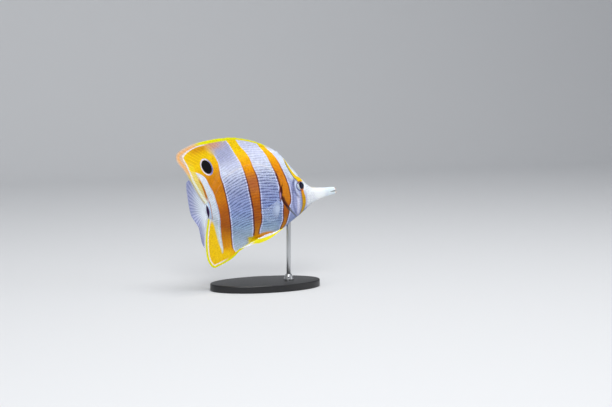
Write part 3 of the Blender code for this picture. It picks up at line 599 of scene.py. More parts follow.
# How far in from the margin a fin's white line runs, on the rear edges by height and on top by place,
# and how wide it is
LINE_IN_REAR = [(-60, 2.0), (0, 2.0), (7, 0.8), (28, 0.9), (36, 2.4), (44, 4.0), (52, 5.6), (58, 6.4),
                (70, 6.4)]
LINE_IN_TOP = [(-40, 3.6), (-18, 3.6), (-12, 3.4), (-3, 3.2), (4, 2.8), (14, 3.1), (26, 3.1), (36, 2.5),
               (46, 1.9), (60, 1.6), (76, 1.0), (84, 0.4)]
LINE_WIDTH = [(-60, 1.1), (0, 1.1), (7, 2.3), (26, 2.3), (38, 1.4), (60, 1.0)]
# The lateral line and the orange of the belly as (x, height)
LATERAL_LINE = [(4.5, 7), (9, 13), (15, 20.5), (23, 27.6), (29.4, 31.5), (41.2, 34.6), (50.6, 35.2),
                (62.3, 31.2), (70, 24.5), (76, 15.5), (79, 11)]
BELLY_LINE = [(-40, -33), (33, -33.6), (43, -34.2), (50, -32.2), (56, -32.4), (64, -33.4), (140, -34)]
# Streaks on the head as (height, x): the painted shadow behind the eye, painted shade and a painted
# highlight beside the folds of the cheek, and painted shade at the chin
EYE_SHADOW = [(-6, 91.5), (-3.5, 89.9), (0, 88.5), (5.2, 88.2), (9.7, 88.8), (12, 90)]
CHEEK_SHADE = [(-24, 88.5), (-18.4, 85.9), (-12.9, 84.9), (-6.9, 84.9), (-1.6, 85.2), (3, 86)]
CHEEK_LIGHT = [(-22, 89.0), (-13, 90.2), (-4, 91.0), (0, 91)]
CHIN_SHADE = [(-20, 98), (-12, 99.4), (-4, 100.4)]
# Colours as (height, red, green, blue)
GROUND_AND_SHADE_COLOURS = [(-46, 190, 204, 216), (-34, 166, 188, 208), (-22, 152, 180, 212), (-6, 148, 166, 214),
                  (8, 154, 166, 208), (20, 184, 194, 224), (32, 222, 228, 246), (48, 216, 220, 244)]
WEDGE_COLOURS = [(-40, 222, 232, 214), (-20, 212, 224, 214), (-4, 190, 204, 212), (14, 216, 226, 228),
                 (34, 236, 242, 250)]
BAND_AND_SHADE_COLOURS = [(-50, 250, 192, 0), (-40, 232, 158, 0), (-29, 196, 124, 0), (-18, 170, 88, 0),
                (-5, 176, 92, 2), (9, 208, 118, 2), (18, 212, 116, 2), (30, 242, 154, 0), (40, 250, 182, 0),
                (52, 255, 214, 0)]
EYE_BAND_COLOURS = [(-25, 176, 150, 30), (-14, 220, 168, 0), (-6, 222, 160, 0), (3, 240, 130, 0),
                    (11, 255, 214, 0), (32, 246, 222, 60)]
FALSE_EYE_X, FALSE_EYE_Z, FALSE_EYE_HALF_WIDTH, FALSE_EYE_HALF_HEIGHT = 7.5, 41.5, 5.1, 7.35


def markings_group():
    """Colour, how much of it is pigment, and how dark the painted shade between scale rows shows, for a fish
    place and fin rim.
    """
    group = bpy.data.node_groups.new("butterflyfish_markings", "ShaderNodeTree")
    for name, way, kind in (("Place", "INPUT", "Vector"), ("Rim", "INPUT", "Float"),
                            ("Colour", "OUTPUT", "Color"), ("Pigment", "OUTPUT", "Float"),
                            ("Rows", "OUTPUT", "Float")):
        group.interface.new_socket(name, in_out=way, socket_type="NodeSocket" + kind)
    w = Wiring(group)
    given = group.nodes.new("NodeGroupInput")
    place, rim = given.outputs["Place"], given.outputs["Rim"]
    x, y, z = w.split(place)
    # Edges waver a little, as pigment does from scale to scale
    waver = w.less(w.noise(place, 0.55, 3.0), 0.5)
    wavy_x = w.linear(waver, 0.9, x)

    def patch(colour, in_x, in_z, amount, paint, *masks):
        """Tints the colour between (low, high, softness) or past (start, full) in x and in height."""
        reach_x, reach_z = (w.step(value, *reach) if len(reach) == 2 else w.between(value, *reach)
                            for value, reach in ((x, in_x), (z, in_z)))
        return w.mix(w.times(reach_x, reach_z, *masks, amount), colour, srgb(*paint))

    def line_x(points):
        return w.line(z, points, Z_RANGE, X_RANGE)

    def streak(colour, points, half, soft, amount, paint):
        """Tints the colour along a line of (height, x) points."""
        mask = w.times(w.step(w.off(x, line_x(points)), half + soft, half - soft),
                       w.between(z, points[0][0], points[-1][0], 2.5))
        return w.mix(w.times(mask, amount), colour, srgb(*paint))

    # White ground, painted darker and bluer low down as painted shade of light from above, lilac on the
    # cheek, white on snout and brow, faintly mottled
    ground = w.ramp(z, *GROUND_AND_SHADE_COLOURS)
    ground = patch(ground, (10, 38, 6), (31, 48), 0.8, (168, 172, 206))
    ground = patch(ground, (35, 15), (51, 59), 1, (220, 164, 130), w.step(rim, 13, 5))
    ground = patch(ground, (76, 94, 2.5), (-27, 12, 4), 0.85, (178, 184, 226))
    ground = patch(ground, (82, 91), (8, 16), 1, (240, 246, 252))
    snout_white = w.mix(w.step(x, 116, 131), srgb(246, 250, 252), srgb(222, 236, 242))
    ground = w.mix(w.times(w.step(x, 94, 102), w.step(z, -34, -16)), ground, snout_white)
    mottling = w.noise(place, 0.16, 4.0, 0.6)
    ground = w.mix(w.times(w.step(mottling, 0.45, 0.75), 0.3), ground, srgb(176, 178, 216))
    streaks = w.step(w.noise(w.scaled(place, (1.4, 1.4, 0.12)), 0.8, 2.0), 0.46, 0.6)
    ground = patch(ground, (76, 94, 2.5), (-27, 12, 4), 0.6, (150, 154, 202), streaks)
    # Painted shade: the lower chest behind the head is painted darker blue-grey
    ground = patch(ground, (66, 88, 4), (-14, -22), 0.6, (132, 148, 196))
    ground = patch(ground, (66, 90, 4), (14, 26), 0.55, (228, 238, 250))
    # Painted shade and a painted highlight beside the cheek folds, and painted shade at the chin
    ground = streak(ground, CHEEK_SHADE, 1.1, 0.8, 0.75, (122, 128, 172))
    ground = streak(ground, CHEEK_LIGHT, 1.5, 0.9, 0.85, (228, 228, 250))
    ground = streak(ground, CHIN_SHADE, 1.0, 0.8, 0.6, (186, 186, 230))

    # The three broad bands, between pale hairlines, their copper painted darker low on the flank as painted
    # shade; the last one is pale behind and blurred at the top
    rears = [w.less(wavy_x, line_x(rear)) for rear, _ in BANDS]
    fronts = [w.less(line_x(front), wavy_x) for _, front in BANDS]
    first, middle, last = (w.math("MINIMUM", rear, front) for rear, front in zip(rears, fronts))
    first_rear, middle_rear, last_rear = rears
    last_front = fronts[-1]
    behind_last = w.times(w.step(last_rear, 0.2, -0.8), w.step(x, 16, 10), 0.95)
    ground = w.mix(behind_last, ground, w.ramp(z, *WEDGE_COLOURS))
    last_edge = w.math("MINIMUM", last_front, w.math("ADD", last_rear, 1.2))
    blurred = w.times(w.step(z, 49, 55), w.step(x, 28, 22))
    hairline = w.between(w.most(first, middle, last_edge), -1.3, -0.1, 0.25)
    ground = w.mix(w.times(hairline, w.linear(blurred, -0.8, 0.8)), ground, srgb(226, 228, 252))
    filled = w.step(w.most(first, middle, last), -0.25, 0.2)
    filled = w.linear(blurred, w.less(w.step(last_front, -6, 4.5), filled), filled)
    fill = w.ramp(z, *BAND_AND_SHADE_COLOURS)
    grain = w.noise(w.scaled(place, (1.0, 1.0, 0.45)), 1.1, 3.0, 0.6)
    fill = w.mix(w.times(w.step(grain, 0.5, 0.72), 0.4), fill, srgb(168, 76, 2))
    fill = patch(fill, (26, 20), (6, 37, 6), 0.65, (202, 126, 2))
    fill = patch(fill, (36, 60, 2), (9, 26, 6), 0.5, (160, 98, 74))
    yellowed = w.most(w.times(w.step(z, 28, 46), w.step(x, 18, 2)),
                      w.times(w.step(z, -38, -46), w.step(x, 22, 12)))
    fill = w.mix(yellowed, fill, srgb(250, 206, 0))
    fill = patch(fill, (-6, 12, 5), (53, 60), 0.85, (220, 152, 2))
    fill = patch(fill, (69, 73), (-9, 21, 5), 0.6, (226, 142, 6))
    fill = patch(fill, (-3, -13), (52, 42), 0.6, (255, 236, 120))
    colour = w.mix(filled, ground, fill)

    # Their dark rims, wider behind the gill cover and behind the middle band, fade out on the fins
    rims = w.most(w.between(first, -0.1, 0.9, 0.3),
                  w.times(w.between(first_rear, 0.0, 1.7, 0.4), w.between(z, 4, 24, 3)),
                  w.between(middle, -0.1, 0.9, 0.3),
                  w.times(w.between(middle_rear, -0.2, 1.25, 0.4), w.step(z, 22, 10)),
                  w.times(w.between(last_front, -0.1, 0.9, 0.35), w.less(1.0, yellowed)))
    rims = w.times(rims, w.step(z, 42, 18), w.step(z, -46, -36))
    rims = w.times(rims, w.linear(w.step(waver, -0.22, 0.05), 0.4, 0.6), 0.95)
    colour = w.mix(rims, colour, srgb(70, 22, 42))

    off_lateral = w.off(z, w.line(x, LATERAL_LINE, X_RANGE, Z_RANGE))
    lateral = w.times(w.step(off_lateral, 1.1, 0.5), w.between(x, 6, 78, 3), w.linear(filled, -0.42, 0.45))
    colour = w.mix(lateral, colour, srgb(240, 236, 240))

    # Yellow on the anal fin's rear, orange along the belly, a brown line down the dorsal fin's rear
    anal = w.times(w.step(w.less(line_x(YELLOW_ANAL), wavy_x), -1.0, 0.9), w.step(z, -7, -10))
    colour = w.mix(anal, colour, srgb(250, 206, 0))
    above_belly = w.less(z, w.line(x, BELLY_LINE, X_RANGE, Z_RANGE))
    belly = w.times(w.step(x, 33.6, 37), w.step(x, 65, 57), w.step(above_belly, 0.8, -1.4), 0.95)
    colour = w.mix(belly, colour, w.mix(w.step(x, 46, 38), srgb(240, 160, 0), srgb(236, 212, 0)))
    past_line = w.less(line_x(ORANGE_LINE), x)
    strip = w.times(w.step(past_line, 0.3, 1.0), w.between(z, 8, 46, 2.0), 0.85)
    colour = w.mix(strip, colour, w.ramp(z, (8, 226, 214, 180), (24, 232, 206, 70), (40, 252, 222, 20)))
    orange = w.times(w.step(w.math("ABSOLUTE", past_line), 1.35, 0.7), w.step(z, 38, 28), w.step(z, 6.5, 9))
    colour = w.mix(orange, colour, w.ramp(z, (20, 190, 114, 2), (34, 232, 172, 4)))

    # The band through the eye, with a dark rear edge above it, and the colours of snout and lips
    eye_line = w.less(x, line_x(EYE_BAND))
    eye_half = w.line(z, EYE_BAND_HALF, Z_RANGE, (0.0, 4.0))
    eye_band = w.step(w.less(eye_half, w.math("ABSOLUTE", eye_line)), -0.15, 0.3)
    colour = w.mix(eye_band, colour, w.ramp(z, *EYE_BAND_COLOURS))
    dark_rear = w.times(w.between(w.math("ADD", eye_line, eye_half), -0.5, 0.35, 0.2),
                        w.step(eye_half, 0.4, 1.0), w.linear(w.step(z, 6, 12), 0.35, 0.55))
    colour = w.mix(dark_rear, colour, srgb(72, 34, 30))
    from_eye = w.far(w.less(x, EYE_X), w.less(z, EYE_Z))
    behind_eye = w.times(w.step(from_eye, 8.6, 7.4), w.step(x, 93.5, 91), w.step(z, 12, 9), 0.8)
    colour = w.mix(behind_eye, colour, srgb(206, 216, 242))
    # The painted shadow behind the eye
    colour = streak(colour, EYE_SHADOW, 1.2, 0.9, 0.75, (92, 100, 146))
    off_ridge = w.step(w.math("ABSOLUTE", y), 3.2, 0.6)
    colour = patch(colour, (108, 111.5, 4), (-6, -3.5), 0.65, (246, 222, 130), off_ridge)
    colour = w.mix(w.times(w.step(x, 131.5, 134.2), 0.6), colour, srgb(236, 196, 168))

    # The gill cover's rear edge, dark where the band crosses it, and the pink slit above
    narrow = w.math("DIVIDE", w.off(x, line_x(GILL_EDGE)), w.linear(w.step(z, -19, -14), 0.7, 0.9))
    gill_line = w.times(w.step(narrow, 1.3, 0.7), w.between(z, -26, -1.5, 1.5),
                        w.linear(w.step(z, -19, -13), 0.3, 0.6))
    colour = w.mix(gill_line, colour, w.ramp(z, (-17, 112, 112, 104), (-12, 84, 30, 20)))
    slit_half = w.linear(w.step(z, 0, 4), 0.6, 1.4)
    slit = w.far(w.math("DIVIDE", w.less(x, w.linear(z, 0.2, 72.4)), slit_half),
                 w.math("DIVIDE", w.less(z, 1.4), 7.2))
    colour = w.mix(w.times(w.step(slit, 1.15, 0.9), 0.9), colour, srgb(92, 30, 26))
    pink = w.times(w.step(slit, 0.75, 0.4), w.step(z, 4.0, 1.5), 0.85)
    colour = w.mix(pink, colour, srgb(184, 142, 176))

    # The tail's root: a dark bar, a pale blue line before it and a brown one before that
    height = w.math("ABSOLUTE", z)
    root_height = w.step(height, 9.5, 8.0)
    stalk = w.times(w.step(x, 9.2, 7.5), w.step(height, 14, 9), 0.65)
    colour = w.mix(stalk, colour, srgb(222, 230, 242))
    colour = w.mix(w.times(w.between(x, 2.4, 3.2, 0.3), root_height, 0.8), colour, srgb(168, 92, 50))
    colour = w.mix(w.times(w.between(x, 0.9, 1.8, 0.25), root_height, 0.8), colour, srgb(150, 190, 240))
    bar_width = w.times(w.less(1.0, w.math("POWER", w.math("DIVIDE", height, 6.6), 2.0)), 1.5)
    bar = w.step(w.less(w.off(x, -0.9), bar_width), 0.25, -0.25)
    colour = w.mix(bar, colour, srgb(44, 10, 58))

    # The false eye: black in a ring that is white behind and blue before
    over, beside = w.less(z, FALSE_EYE_Z), w.less(x, FALSE_EYE_X)
    spot = w.far(w.math("DIVIDE", w.linear(over, 0.09, beside), FALSE_EYE_HALF_WIDTH),
                 w.math("DIVIDE", w.linear(beside, 0.24, over), FALSE_EYE_HALF_HEIGHT))
    spot = w.linear(waver, 0.08, spot)
    ring_colour = w.mix(w.step(beside, 0, 4), srgb(236, 232, 250), srgb(104, 124, 206))
    colour = w.mix(w.between(spot, 0.92, 1.12, 0.05), colour, ring_colour)
    colour = w.mix(w.step(spot, 0.96, 0.88), colour, srgb(6, 4, 10))

    # Fin edges: lemon or peach, then a white line that runs further in at the dorsal fin's rear corner
    corner = w.times(w.step(z, 62, 50), w.step(x, 2, -8))
    top_in = w.linear(corner, 4.5, w.line(x, LINE_IN_TOP, X_RANGE, (0.0, 7.0)))
    line_in = w.math("MINIMUM", w.line(z, LINE_IN_REAR, Z_RANGE, (0.0, 7.0)), top_in)
    past_edge = w.less(rim, line_in)
    line_end = w.less(past_edge, w.line(z, LINE_WIDTH, Z_RANGE, (0.0, 6.0)))
    white_line = w.times(w.step(past_edge, -0.2, 0.15), w.step(line_end, 0.2, -0.15), w.step(x, 14, 5), 0.92)
    rear_low = w.times(w.step(x, 10, 0), w.between(z, 4, 34, 5))
    colour = w.mix(white_line, colour, w.mix(rear_low, srgb(246, 242, 250), srgb(230, 238, 222)))
    peach = w.mix(w.between(rim, 1.4, 3.6, 0.7), srgb(226, 196, 168), srgb(250, 190, 124))
    edge_colour = w.mix(w.times(w.step(x, 6, -3), w.step(z, 28, 42)), srgb(238, 238, 0), peach)
    edge_colour = w.mix(rear_low, edge_colour, srgb(206, 190, 128))
    outer = w.times(w.step(past_edge, 0.15, -0.25), w.step(x, 74, 66))
    colour = w.mix(outer, colour, edge_colour)

    # How dark the painted shade between scale rows shows: strongest on the middle of the flank, weaker on
    # the bands
    rows = w.linear(w.times(w.between(x, 18, 74, 5), w.between(z, -24, 28, 7)), 0.85, 0.4)
    result = group.nodes.new("NodeGroupOutput")
    w.feed(result.inputs["Colour"], colour)
    w.feed(result.inputs["Pigment"], w.most(filled, anal, outer))
    w.feed(result.inputs["Rows"], w.times(rows, w.linear(filled, -0.55, 1.0)))
    return group


markings = markings_group()


def marked_material(name, kind, roughness, coat, scatter):
    """The markings as a wet, slightly clear skin. kind is skin, scales or fin."""
    made = bpy.data.materials.new(name)
    made.use_nodes = True
    w = Wiring(made.node_tree)
    pattern = made.node_tree.nodes.new("ShaderNodeGroup")
    pattern.node_tree = markings
    place = w.attribute("place", "Vector")
    w.feed(pattern.inputs["Place"], place)
    w.feed(pattern.inputs["Rim"], 30.0 if kind == "skin" else w.attribute("rim"))
    colour = pattern.outputs["Colour"]
    fine = w.noise(place, 6.0, 3.0)
    if kind == "skin":
        hidden = w.ramp(w.split(place)[2], (-17, 128, 130, 128), (-11, 70, 38, 40))
        colour = w.mix(w.attribute("inside"), colour, hidden)
        height = w.linear(w.noise(place, 2.2, 4.0), 0.6, fine)
    if kind == "scales":
        # Scale edges are painted darker along the rows: on the white ground this is painted shade of the
        # gaps between scales, on the copper bands a browner pigment at their edges
        shade = w.mix(pattern.outputs["Pigment"], srgb(88, 94, 148), srgb(178, 104, 60))
        edge_shaded = w.mix(1.0, colour, shade, "MULTIPLY")
        patchy_shade = w.linear(w.step(w.noise(place, 0.35, 3.0), 0.3, 0.6), 0.5, 0.5)
        rows = w.times(pattern.outputs["Rows"], patchy_shade, w.step(w.attribute("edge"), 0.28, 0.8))
        tone = w.linear(w.attribute("tone"), 0.16, 0.92)
        colour = w.node("HueSaturation", {"Color": w.mix(rows, colour, edge_shaded), "Value": tone}, "Color")
        height = w.linear(w.noise(w.scaled(place, (0.6, 1, 3.0)), 3.0, 2.0), 0.5, fine)
    if kind == "fin":
        ray = w.attribute("ray")
        colour = w.mix(w.times(w.step(ray, 0.6, 0.0), 0.16), colour, srgb(150, 96, 60), "MULTIPLY")
        height = w.linear(ray, 0.5, fine)
    bump = w.node("Bump", {"Strength": 0.25, "Distance": 0.00006, "Height": height}, "Normal")
    wet = w.linear(w.noise(place, 0.9, 3.0), 0.16, roughness - 0.08)
    w.surface({"Base Color": colour, "Roughness": wet, "Normal": bump, "Specular IOR Level": 0.16,
               "Coat Weight": coat, "Coat Roughness": 0.2, "Subsurface Weight": scatter,
               "Subsurface Radius": (1.0, 0.7, 0.5), "Subsurface Scale": 0.0008})
    return made


finished(skin, marked_material("fish_skin", "skin", 0.42, 0.12, 0.1), "scaled_skin", "head", "snout",
         "upper_jaw", "lower_jaw", "gill_cover_right", "gill_cover_left", "torso", "tail_stalk")

# Dorsal and anal fins
# Sheets of skin on spines and soft rays, standing on the ridges of back and belly. Each grows out
# of the flank in one sweep, thins to its margin, and is notched behind the point of each spine.

FIN_GAP = 0.345
MEMBRANE_HALF, MARGIN_HALF = 0.36, 0.2
SPINE_HALF, RAY_RIDGE, RAY_SPREAD = 0.62, 0.17, 0.26
SPINE_NOTCH = 0.45
# How far up its rays a fin curves into the flank, as a share of their length and at most
JOIN_SHARE, JOIN_MOST = 0.4, 9
DORSAL_OUTLINE = [(79.2, 42.4), (72.4, 47.4), (64.8, 52.8), (53.5, 58.6), (41.9, 63.0), (34.8, 64.8),
                  (22.6, 65.9), (10.3, 66.2), (-0.9, 65.7), (-10, 63.8), (-17.9, 60.9), (-20.7, 56.6),
                  (-19.7, 50.9), (-15.5, 43.0), (-11.4, 32.7), (-7.7, 22.5), (-4.6, 14.0), (-2.0, 8.6)]
ANAL_OUTLINE = [(45.6, -39.2), (35.5, -42.4), (25.3, -45.6), (20.2, -48.9), (14.5, -51.8), (7.6, -53.8),
                (1.4, -55.2), (-3.2, -55.8), (-6.4, -52.6), (-8.4, -46.6), (-8.6, -39.6), (-7.5, -29.5),
                (-5.6, -20.9), (-3.2, -13.4), (-1.6, -9.0)]


def round_path(points, samples=12):
    """Points closely spaced on a round curve through the given ones."""
    points = np.array(points, float)
    ends = np.concatenate([[2 * points[0] - points[1]], points, [2 * points[-1] - points[-2]]])
    t = (np.arange(samples) / samples)[:, None]
    path = [0.5 * (2 * b + (c - a) * t + (2 * a - 5 * b + 4 * c - d) * t**2 + (3 * b - a - 3 * c + d) * t**3)
            for a, b, c, d in zip(ends, ends[1:], ends[2:], ends[3:])]
    return np.concatenate(path + [points[-1:]])


def read_off(at, places, points):
    """Points of a path at these places along it."""
    return np.stack([np.interp(at, places, points[:, axis]) for axis in range(2)], axis=-1)


def at_shares(path, shares):
    """The points at these shares of the path's length."""
    lengths = np.concatenate([[0], np.cumsum(np.linalg.norm(np.diff(path, axis=0), axis=1))])
    return read_off(shares * lengths[-1], lengths, path)


class RidgeFin:
    """A fin along the back or belly. share runs along its root, reach is the way out along its ray."""

    def __init__(self, line, outward, base_x, outline, spines, rays, spine_share, lean):
        xs = np.linspace(base_x[0], base_x[1], 200)
        slope = line(xs + 0.5) - line(xs - 0.5)
        normal = np.stack([-slope, np.ones_like(slope)], axis=-1) / np.hypot(slope, 1)[:, None]
        base = np.stack([xs, line(xs)], axis=-1) + outward * FIN_GAP * normal
        self.line, self.outward = line, outward
        self.table = np.linspace(0, 1, 401)
        self.margin = round_path(outline)
        self.roots = at_shares(base, self.table)
        self.tips = at_shares(self.margin, self.table**lean)
        self.spines = spines
        self.rays = np.array([spine_share * i / spines for i in range(spines)]
                             + [spine_share + (1 - spine_share) * i / (rays - 1) for i in range(rays)])

    def ray(self, share):
        """Root, tip, way and length of the ray at this share of the root."""
        root, tip = read_off(share, self.table, self.roots), read_off(share, self.table, self.tips)
        length = np.linalg.norm(tip - root, axis=-1)
        return root, tip, (tip - root) / length[..., None], length

    def depth(self, share):
        """How far under the root the fin's side meets the flank."""
        root = self.ray(share)[0]
        return 1.0 + (np.clip(0.36 * half_width(root[..., 0]), 1.2, 3.8) - 1.0) * fade(share, 0, 0.08)

    def half(self, share, reach):
        """Half the fin's thickness without its rays, curving into the flank below the root."""
        root, _, way, length = self.ray(share)
        depth, join = self.depth(share), np.minimum(JOIN_SHARE * length, JOIN_MOST)
        low, near, far = (root - way * (depth + extra)[..., None] for extra in (0, -0.2, 0.2))
        y_low = flank(low[..., 0], low[..., 1]) - coat_depth(low[..., 0])
        slope = (flank(near[..., 0], near[..., 1]) - flank(far[..., 0], far[..., 1])) / 0.4
        thin = MEMBRANE_HALF + (MARGIN_HALF - MEMBRANE_HALF) * np.clip(reach / length, 0, 1)
        thin_slope = (MARGIN_HALF - MEMBRANE_HALF) / length
        span = join + depth
        t = np.clip((reach + depth) / span, 0, 1)
        swept = ((2 * t - 3) * t * t + 1) * y_low + ((t - 2) * t + 1) * t * span * np.clip(slope, -1.6, 0)
        swept = swept + (3 - 2 * t) * t * t * (MEMBRANE_HALF + thin_slope * join)
        swept = swept + (t - 1) * t * t * span * thin_slope
        return np.where(reach > join, thin, swept)

    def locate(self, points):
        """Share of the root and reach up the ray for places in the side view; share is -1 outside."""
        way = self.tips - self.roots
        over = points[:, None, :] - self.roots
        turn = way[:, 0] * over[..., 1] - way[:, 1] * over[..., 0]
        change = turn[:, 1:] * turn[:, :-1] <= 0
        i = np.argmax(change, axis=1)
        rows = np.arange(len(points))
        here, following = turn[rows, i], turn[rows, i + 1]
        part = here / np.where(here == following, 1, here - following)
        share = np.where(change.any(axis=1), (i + part) / (len(self.table) - 1), -1)
        ray_root, _, ray_way, length = self.ray(np.clip(share, 0, 1))
        return share, np.sum((points - ray_root) * ray_way, axis=-1), length

    def from_margin(self, points):
        """The distance of places in the side view from the fin's margin."""
        flat = points.reshape(-1, 2)
        nearest = [np.hypot(*(part[:, None, :] - self.margin).transpose(2, 0, 1)).min(axis=1)
                   for part in np.array_split(flat, max(1, len(flat) // 4000))]
        return np.concatenate(nearest).reshape(points.shape[:-1])


def both_sides(values):
    """Rows up one side of a sheet, over its edge and down the other."""
    return np.concatenate([values, values[::-1][1:]])


def thick_sheet(name, middle, half, normal, root_x=None, **kept):
    """A closed sheet around its middle surface; half its thickness is 0 where it closes."""
    out = normal * half[..., None]
    points = np.concatenate([middle - out, (middle + out)[::-1][1:]])
    piece = grid_piece(name, posed(points, None if root_x is None else both_sides(root_x)))
    remember(piece, "place", points)
    for word, values in kept.items():
        remember(piece, word, both_sides(values))
    close_seams(piece)
    return piece


SPINE_CELL = np.array([0, 0.03, 0.065, 0.11, 0.17, 0.25, 0.38, 0.52, 0.66, 0.78, 0.86, 0.91, 0.95, 0.98])
RAY_CELL = np.array([0, 0.07, 0.13, 0.19, 0.26, 0.36, 0.5, 0.64, 0.74, 0.81, 0.87, 0.93])
# How far past its first and last ray a fin reaches, and how much of its thickness is left there
END_ROUNDING = [(0.62, 0.0), (0.58, 0.38), (0.45, 0.7), (0.25, 0.93)]


def ridge_fin_piece(name, fin):
    last = len(fin.rays) - 1
    columns = [(0.0, 0, 0.0, -out, thick) for out, thick in END_ROUNDING]
    for i, share in enumerate(fin.rays[:-1]):
        cell = SPINE_CELL if i < fin.spines else RAY_CELL
        columns += [(share + part * (fin.rays[i + 1] - share), i, part, 0.0, 1.0) for part in cell]
    columns += [(1.0, last, 0.0, 0.7 * out, thick) for out, thick in [(0, 1)] + END_ROUNDING[::-1]]
    share, cell, part, aside, closing_in = np.array(columns).T
    root, _, way, length = fin.ray(share)
    notch = np.where(cell < fin.spines, SPINE_NOTCH * np.sin(math.pi * part) ** 0.8, 0) * fade(length, 2, 7)
    height = length - notch
    depth = fin.depth(share)
    rows = [(-depth - 0.9, 0.0), (-depth - 0.6, 0.7), (-depth - 0.25, 0.93)]
    rows += [(-depth * (1 - up), 1.0) for up in (0, 0.2, 0.4, 0.6, 0.8)]
    rows += [((height - 0.35) * up, 1.0) for up in np.linspace(0, 1, 38)]
    rows += [(height - 0.2, 0.88), (height - 0.09, 0.62), (height - 0.02, 0.3), (height, 0.0)]
    reach = np.array([row for row, _ in rows]) - 1.1 * fade(share, 0.06, 0.0)
    rounded = np.array([thick for _, thick in rows])[:, None] * closing_in
    side_way = np.stack([-way[:, 1], way[:, 0]], axis=-1)
    flat = root + way * reach[..., None] + side_way * (aside * np.sign(way[:, 1]))[:, None]

    up = np.clip(reach / length, 0, 1)
    ray_roots, ray_tips, _, _ = fin.ray(fin.rays)
    crest = np.zeros_like(reach)
    spine_half = np.zeros_like(reach)
    for step in (0, 1):
        near = np.clip(cell.astype(int) + step, 0, last)
        beside = ray_tips[np.clip(near + 1, 0, last)] - ray_tips[np.clip(near - 1, 0, last)]
        pitch = np.linalg.norm(beside, axis=-1) / 2
        axis = ray_roots[near] + (ray_tips - ray_roots)[near] * up[..., None]
        off = np.linalg.norm(flat - axis, axis=-1)
        soft = near >= fin.spines
        branch = 0.16 * pitch * fade(up, 0.4, 1.0) * soft
        crest = np.maximum(crest, bell(off - branch, RAY_SPREAD) * soft)
        radius = SPINE_HALF * (1 - 0.55 * up) * ~soft
        spine_half = np.maximum(spine_half, np.sqrt(np.clip(radius**2 - off**2, 0, None)))
    half = np.maximum(fin.half(np.broadcast_to(share, reach.shape), reach), spine_half)
    half = half + RAY_RIDGE * crest * fade(reach, 1, 6) * fade(up, 1.02, 0.9)
    middle = np.insert(flat, 1, 0.0, axis=-1)
    root_x = np.broadcast_to(root[:, 0], reach.shape)
    piece = thick_sheet(name + "_sheet", middle, half * rounded, np.array((0, 1, 0)), root_x,
                        rim=fin.from_margin(flat), ray=np.maximum(crest, spine_half / SPINE_HALF))
    finished(piece, fin_material, "yellow_fin", name)


fin_material = marked_material("yellow_fin_skin", "fin", 0.45, 0.1, 0.08)
dorsal = RidgeFin(top_line, 1, (80.0, 0.6), DORSAL_OUTLINE, 9, 29, 0.42, 1.15)
anal = RidgeFin(bottom_line, -1, (45.5, 0.8), ANAL_OUTLINE, 3, 20, 0.2, 1.1)
ridge_fin_piece("dorsal_fin", dorsal)
ridge_fin_piece("anal_fin", anal)

# Tail fin
# A wide fan of nineteen rays on the end of the tail stalk. Each ray branches twice on its way out, and
# the clear membrane between them is pale blue.

TAIL_ROOT_X, TAIL_ROOT_HEIGHT, TAIL_RAYS = -3.3, 11.4, 19
TAIL_FAN_DOWN, TAIL_FAN_UP = math.radians(60), math.radians(66)
TAIL_LENGTH = [(-1, 30), (-0.86, 29), (-0.45, 21.4), (-0.2, 20.4), (0, 20.8), (0.4, 24), (0.6, 27),
               (0.76, 31.2), (0.86, 33.2), (0.95, 32.6), (1, 30.5)]
TAIL_TWIST = [(-1, 15), (-0.45, 14), (-0.15, 6), (0.1, 0), (1, 0)]
TAIL_CELL = np.array([0, 0.06, 0.12, 0.18, 0.24, 0.31, 0.4, 0.5, 0.6, 0.69, 0.76, 0.82, 0.88, 0.94])


def clear_fin_material(name, base, outer, membrane, opaque, roughness=0.35, painted_highlight=()):
    """Thin clear fin skin: colour from the root to the margin, and how much shows at membrane and ray.
    painted_highlight is the middle (x, height) and half size of a part made more opaque so that it shows
    whiter, a painted highlight."""
    made = plain_material(name, (1, 1, 1), roughness)
    w = Wiring(made.node_tree)
    ray, out, place = w.attribute("ray"), w.attribute("out"), w.attribute("place", "Vector")
    colour = w.mix(w.step(out, 0.1, 0.9), base, outer)
    colour = w.mix(w.times(w.step(ray, 0.3, 1.0), 0.35), colour, srgb(246, 246, 255))
    clear = w.linear(w.step(ray, 0.1, 0.9), opaque - membrane, membrane)
    clear = w.linear(w.step(out, 0.1 if painted_highlight else 0.25, 0.0), 1 - opaque, clear)
    if painted_highlight:
        x, _, z = w.split(place)
        off = w.far(w.math("DIVIDE", w.less(x, painted_highlight[0]), painted_highlight[2]),
                    w.math("DIVIDE", w.less(z, painted_highlight[1]), painted_highlight[3]))
        clear = w.linear(w.step(off, 1.2, 0.1), 0.45, clear)
    clear = w.linear(w.less(w.noise(place, 0.5, 2.0), 0.5), 0.06, clear)
    w.surface({"Base Color": colour, "Alpha": w.math("MINIMUM", clear, 1.0)})
    return made


cells = [i + part for i in range(TAIL_RAYS - 1) for part in TAIL_CELL] + [TAIL_RAYS - 1]
cell = np.array([0.0] * 3 + cells + [TAIL_RAYS - 1.0] * 3)
aside = np.array([-0.5, -0.44, -0.25] + [0] * len(cells) + [0.25, 0.44, 0.5])
closing_in = np.array([0, 0.45, 0.85] + [1] * len(cells) + [0.85, 0.45, 0])
share = 2 * cell / (TAIL_RAYS - 1) - 1
length = smooth_line(TAIL_LENGTH)(share)
